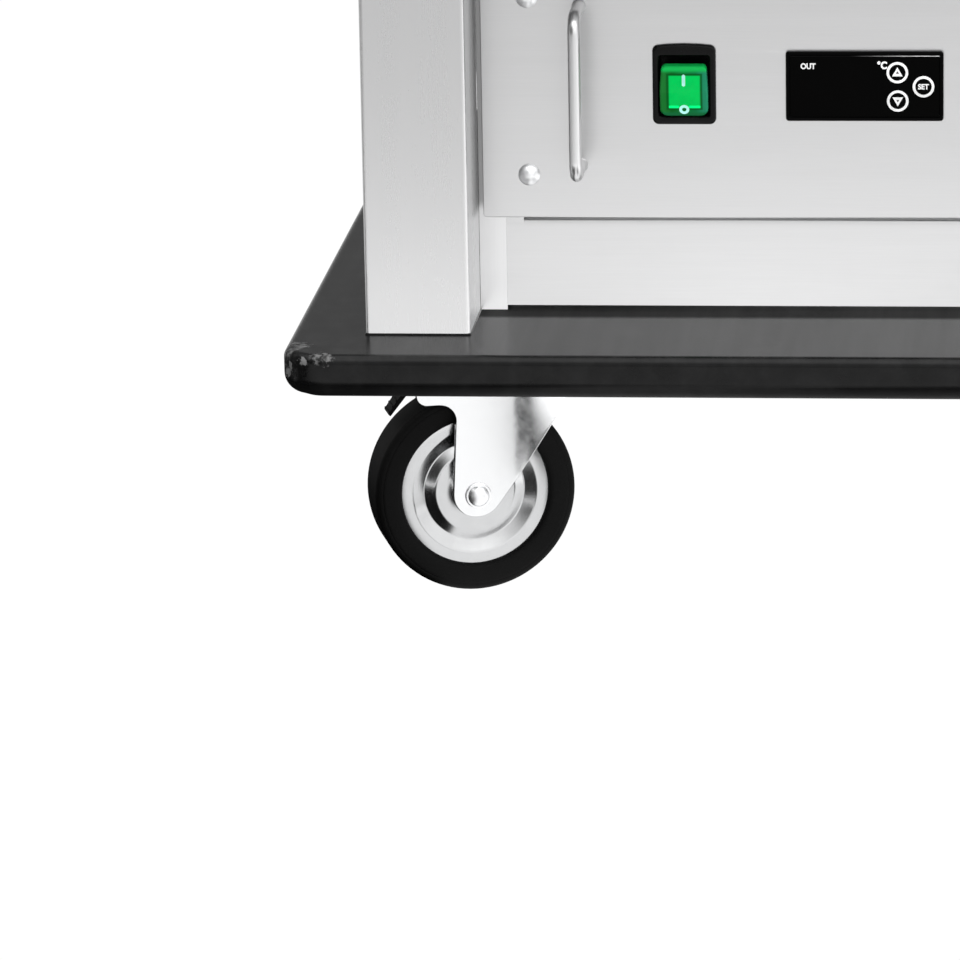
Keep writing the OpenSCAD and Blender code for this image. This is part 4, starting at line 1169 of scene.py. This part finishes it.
class TROLLEY_OT_push_handles(bpy.types.Operator):
    """Bends the two tube handles at the sides, with their wall flanges and screws"""
    bl_idname = "trolley.push_handles"
    bl_label = "Push handles"

    FLANGE = [(12.0, 0.1), (23.8, 0.1), (24, 0.4), (24, 1.6), (22.5, 2.8), (16.5, 3), (14.2, 4.2),
              (12.0, 5.8)]
    SCREW = [(0.1, -0.5), (2.6, -0.5), (2.4, 0.6), (1.6, 1.1), (0.4, 1.2), (0.1, 0.8)]

    def execute(self, context):
        radius, leg, bend = 0.0125, 0.16, 0.028
        for side, s in (("left", -1), ("right", 1)):
            handle = Box("push_handle_" + side)
            near, far = sorted((abs(handle.low.x), abs(handle.high.x)))
            wall, axis, z = s * near, s * (far - radius), handle.z
            path = [(wall + s * 0.001, -leg, z)]
            path += arc((axis - s * bend, -leg + bend, z), (0, -1, 0), (s, 0, 0), bend, 12)
            path += [(axis, -leg + 2 * leg * k / 8, z) for k in range(2, 7)]
            path += arc((axis - s * bend, leg - bend, z), (s, 0, 0), (0, 1, 0), bend, 12)
            path += [(wall + s * 0.001, leg, z)]
            bm = bmesh.new()
            swept(bm, path, radius, 40)
            for y in (-leg, leg):
                place = Matrix.Translation((wall, y, z)) @ Matrix.Rotation(math.radians(s * 90), 4, 'Y')
                turned(bm, mm(self.FLANGE), place, 64, loop=True)
                for angle in (90, 210, 330):
                    a = math.radians(angle)
                    spot = (0.0195 * math.cos(a), 0.0195 * math.sin(a), 0.0028)
                    turned(bm, mm(self.SCREW), place @ Matrix.Translation(spot), 20)
            add_piece("tube_handle_" + side, bm, "cabinet", "steel", "steel deep", "push_handle_" + side,
                      sharp=40)
        return {'FINISHED'}


class TROLLEY_OT_fasteners(bpy.types.Operator):
    """Sets the rivets that hold the back panel and the side panels"""
    bl_idname = "trolley.fasteners"
    bl_label = "Panel rivets"

    RIVET = [(0, -0.6), (3.4, -0.6), (3.4, 0.3), (3.0, 0.8), (1.8, 1.3), (1.1, 1.4), (0.9, 1.0), (0, 1.0)]

    def execute(self, context):
        low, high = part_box("back_panel")
        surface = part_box("side_panel_left")[1].y
        in_x, in_z, count = 0.016, 0.02, 9
        bm = bmesh.new()
        for x in (low.x + in_x, high.x - in_x):
            for k in range(count):
                z = low.z + in_z + (high.z - low.z - 2 * in_z) * k / (count - 1)
                turned(bm, mm(self.RIVET), Matrix.Translation((x, surface, z))
                       @ Matrix.Rotation(math.radians(-90), 4, 'X'), 20)
        add_piece("back_rivets", bm, "cabinet", "zinc", "zinc turned")
        return {'FINISHED'}


class TROLLEY_OT_stage(bpy.types.Operator):
    """Lays the pale floor, hangs the soft lights and stands the camera where the photo was taken"""
    bl_idname = "trolley.stage"
    bl_label = "Stage, lights and camera"

    SEEN = 1.02     # brightness of the floor and the room to the camera

    def execute(self, context):
        settings = context.scene.trolley_stage
        self.lay_floor(settings)
        self.paint_room(settings)
        self.hang_lamp()
        self.stand_camera(context)
        context.scene.view_settings.view_transform = 'Standard'
        return {'FINISHED'}

    def lay_floor(self, settings):
        bm = bmesh.new()
        bmesh.ops.create_grid(bm, size=settings.floor_size)
        mesh = bpy.data.meshes.new("floor")
        bm.to_mesh(mesh)
        bm.free()
        floor = add_object("floor", mesh)
        paint = bpy.data.materials.new("pale floor")
        paint.use_nodes = True
        mesh.materials.append(paint)
        net = Wiring(paint.node_tree)
        net.tree.nodes.remove(net.tree.nodes["Principled BSDF"])
        spot = net.parts(net.where())
        x, y = spot['X'], spot['Y']
        front = net.times(net.fade(y, -1.15, -0.88, settings.far_floor, settings.near_floor),
                          net.fade(y, -0.76, -0.62, 1.0, 0.005), net.fade(x, -1.5, -0.45, 0.5, 1.0))

        def turned_past(from_x, from_y, *degrees):
            """From 0 to 1 as the bearing of a spot, seen from a place, passes two angles."""
            bearing = net.math('ARCTAN2', net.plus(x, -from_x), net.math('SUBTRACT', from_y, y))
            return net.fade(bearing, *(math.radians(angle) for angle in degrees))

        # a lit patch for the front castor, with a dark card on it for the line in its bent cheek
        def past_bend(*degrees):
            return turned_past(-0.173, -0.249, *degrees)

        card = net.times(past_bend(26.5, 28.5), net.math('SUBTRACT', 1.0, past_bend(41.5, 43.5)),
                         net.fade(y, -0.47, -0.43, 1.0, 0.0))
        gap = net.times(past_bend(38, 42), net.fade(x, 0.07, 0.11, 1.0, 0.15),
                        net.fade(y, -0.36, -0.335, 1.0, 0.0))
        patch = net.times(turned_past(-0.2216, -0.2, 9, 16), net.math('SUBTRACT', 1.0, net.most(card, gap)),
                          net.fade(y, -0.72, -0.66), net.fade(y, -0.24, -0.2, 1.0, 0.0),
                          net.fade(x, 0.09, 0.14, 1.0, 1.45))
        below = net.times(net.fade(y, -0.3, -0.22), net.fade(x, -0.16, -0.1))
        patch = net.times(net.most(patch, below), settings.castor_floor)
        away = net.times(net.most(net.fade(net.size(x), 0.6, 0.85), net.fade(y, 0.3, 0.55)),
                         net.fade(y, -0.5, -0.3, 0.0, settings.far_floor))
        glow = net.to_camera(net.most(front, patch, away), self.SEEN)
        light = net.add('ShaderNodeEmission', {'Strength': glow}).outputs[0]
        net.tree.links.new(light, net.tree.nodes["Material Output"].inputs['Surface'])

    def paint_room(self, settings):
        room = bpy.data.worlds.new("room")
        bpy.context.scene.world = room
        room.use_nodes = True
        net = Wiring(room.node_tree)
        backing = net.tree.nodes["Background"]
        toward = net.parts(net.add('ShaderNodeTexCoord').outputs['Generated'])
        x, y, z = toward['X'], toward['Y'], toward['Z']
        around = net.times(net.most(net.fade(x, -0.35, 0.2, 0.05, 1.0), net.fade(y, -0.1, 0.3, 0.0, 0.7)),
                           net.fade(y, -0.2, 0.5, 1.0, 0.5), settings.sky)
        ahead = net.times(net.fade(y, -0.5, -0.1, 0.85, 0.0), net.fade(x, -0.3, -0.12))
        high = net.times(net.fade(z, 0.45, 0.8, 0.0, settings.overhead_front),
                         net.fade(y, 0.2, 0.6, 1.0, 0.0))
        glow = net.to_camera(net.plus(around, ahead, high), self.SEEN)
        net.tree.links.new(glow, backing.inputs['Strength'])
        backing.inputs['Color'].default_value = (1, 1, 1, 1)

    def hang_lamp(self):
        place, target, side, power = Vector((0.2, -0.8, 3.2)), Vector((0.0, 0.0, 0.5)), 2.5, 10
        lamp = bpy.data.lights.new("overhead", 'AREA')
        lamp.shape = 'RECTANGLE'
        lamp.size, lamp.size_y, lamp.energy = side, side, power
        light = add_object("overhead", lamp)
        light.location = place
        light.rotation_euler = (target - place).to_track_quat('-Z', 'Y').to_euler()
        light.visible_camera = False

    def stand_camera(self, context):
        yaw, pitch, roll = (math.radians(a) for a in (-5.703, 14.823, -1.077))
        ahead = Vector((math.sin(yaw) * math.cos(pitch), math.cos(yaw) * math.cos(pitch), -math.sin(pitch)))
        right = Vector((math.cos(yaw), -math.sin(yaw), 0))
        up = right.cross(ahead)
        right, up = (right * math.cos(roll) + up * math.sin(roll),
                     up * math.cos(roll) - right * math.sin(roll))
        eye = Vector((0.0934, -3.0887, 0.8118))
        lens = bpy.data.cameras.new("photo camera")
        lens.lens, lens.sensor_width = 225, 36
        camera = add_object("photo camera", lens)
        turn = Matrix((right, up, -ahead)).transposed().to_4x4()
        camera.matrix_world = Matrix.Translation(eye) @ turn
        context.scene.camera = camera


STEPS = (
    TROLLEY_OT_finish_nodes, TROLLEY_OT_bumper, TROLLEY_OT_control_panel, TROLLEY_OT_rail_lip,
    TROLLEY_OT_post_foot_shadow_bead, TROLLEY_OT_wire_handles, TROLLEY_OT_rocker_switch, TROLLEY_OT_thermostat,
    TROLLEY_OT_castor_forks, TROLLEY_OT_wheels, TROLLEY_OT_brake_pedals, TROLLEY_OT_door, TROLLEY_OT_latch,
    TROLLEY_OT_push_handles, TROLLEY_OT_fasteners, TROLLEY_OT_stage,
)


class TROLLEY_PT_pieces(bpy.types.Panel):
    """Lists the trolley's steps, sizes and colours"""
    bl_label = "Hostess trolley"
    bl_idname = "TROLLEY_PT_pieces"
    bl_space_type = 'VIEW_3D'
    bl_region_type = 'UI'
    bl_category = "Trolley"

    def draw(self, context):
        for step in STEPS:
            self.layout.operator(step.bl_idname)
        scene = context.scene
        for group in (scene.trolley_sizes, scene.trolley_colours, scene.trolley_stage):
            box = self.layout.box()
            for name in group.bl_rna.properties.keys():
                if name not in ("rna_type", "name"):
                    box.prop(group, name)


CLASSES = (TrolleySizes, TrolleyColours, StageSettings) + STEPS + (TROLLEY_PT_pieces,)


def register():
    for kind in CLASSES:
        bpy.utils.register_class(kind)
    bpy.types.Scene.trolley_sizes = PointerProperty(type=TrolleySizes)
    bpy.types.Scene.trolley_colours = PointerProperty(type=TrolleyColours)
    bpy.types.Scene.trolley_stage = PointerProperty(type=StageSettings)


def unregister():
    for name in ("trolley_stage", "trolley_colours", "trolley_sizes"):
        delattr(bpy.types.Scene, name)
    for kind in reversed(CLASSES):
        bpy.utils.unregister_class(kind)


def main():
    register()
    for step in STEPS:
        space, name = step.bl_idname.split(".")
        getattr(getattr(bpy.ops, space), name)()


if __name__ == "__main__":
    main()
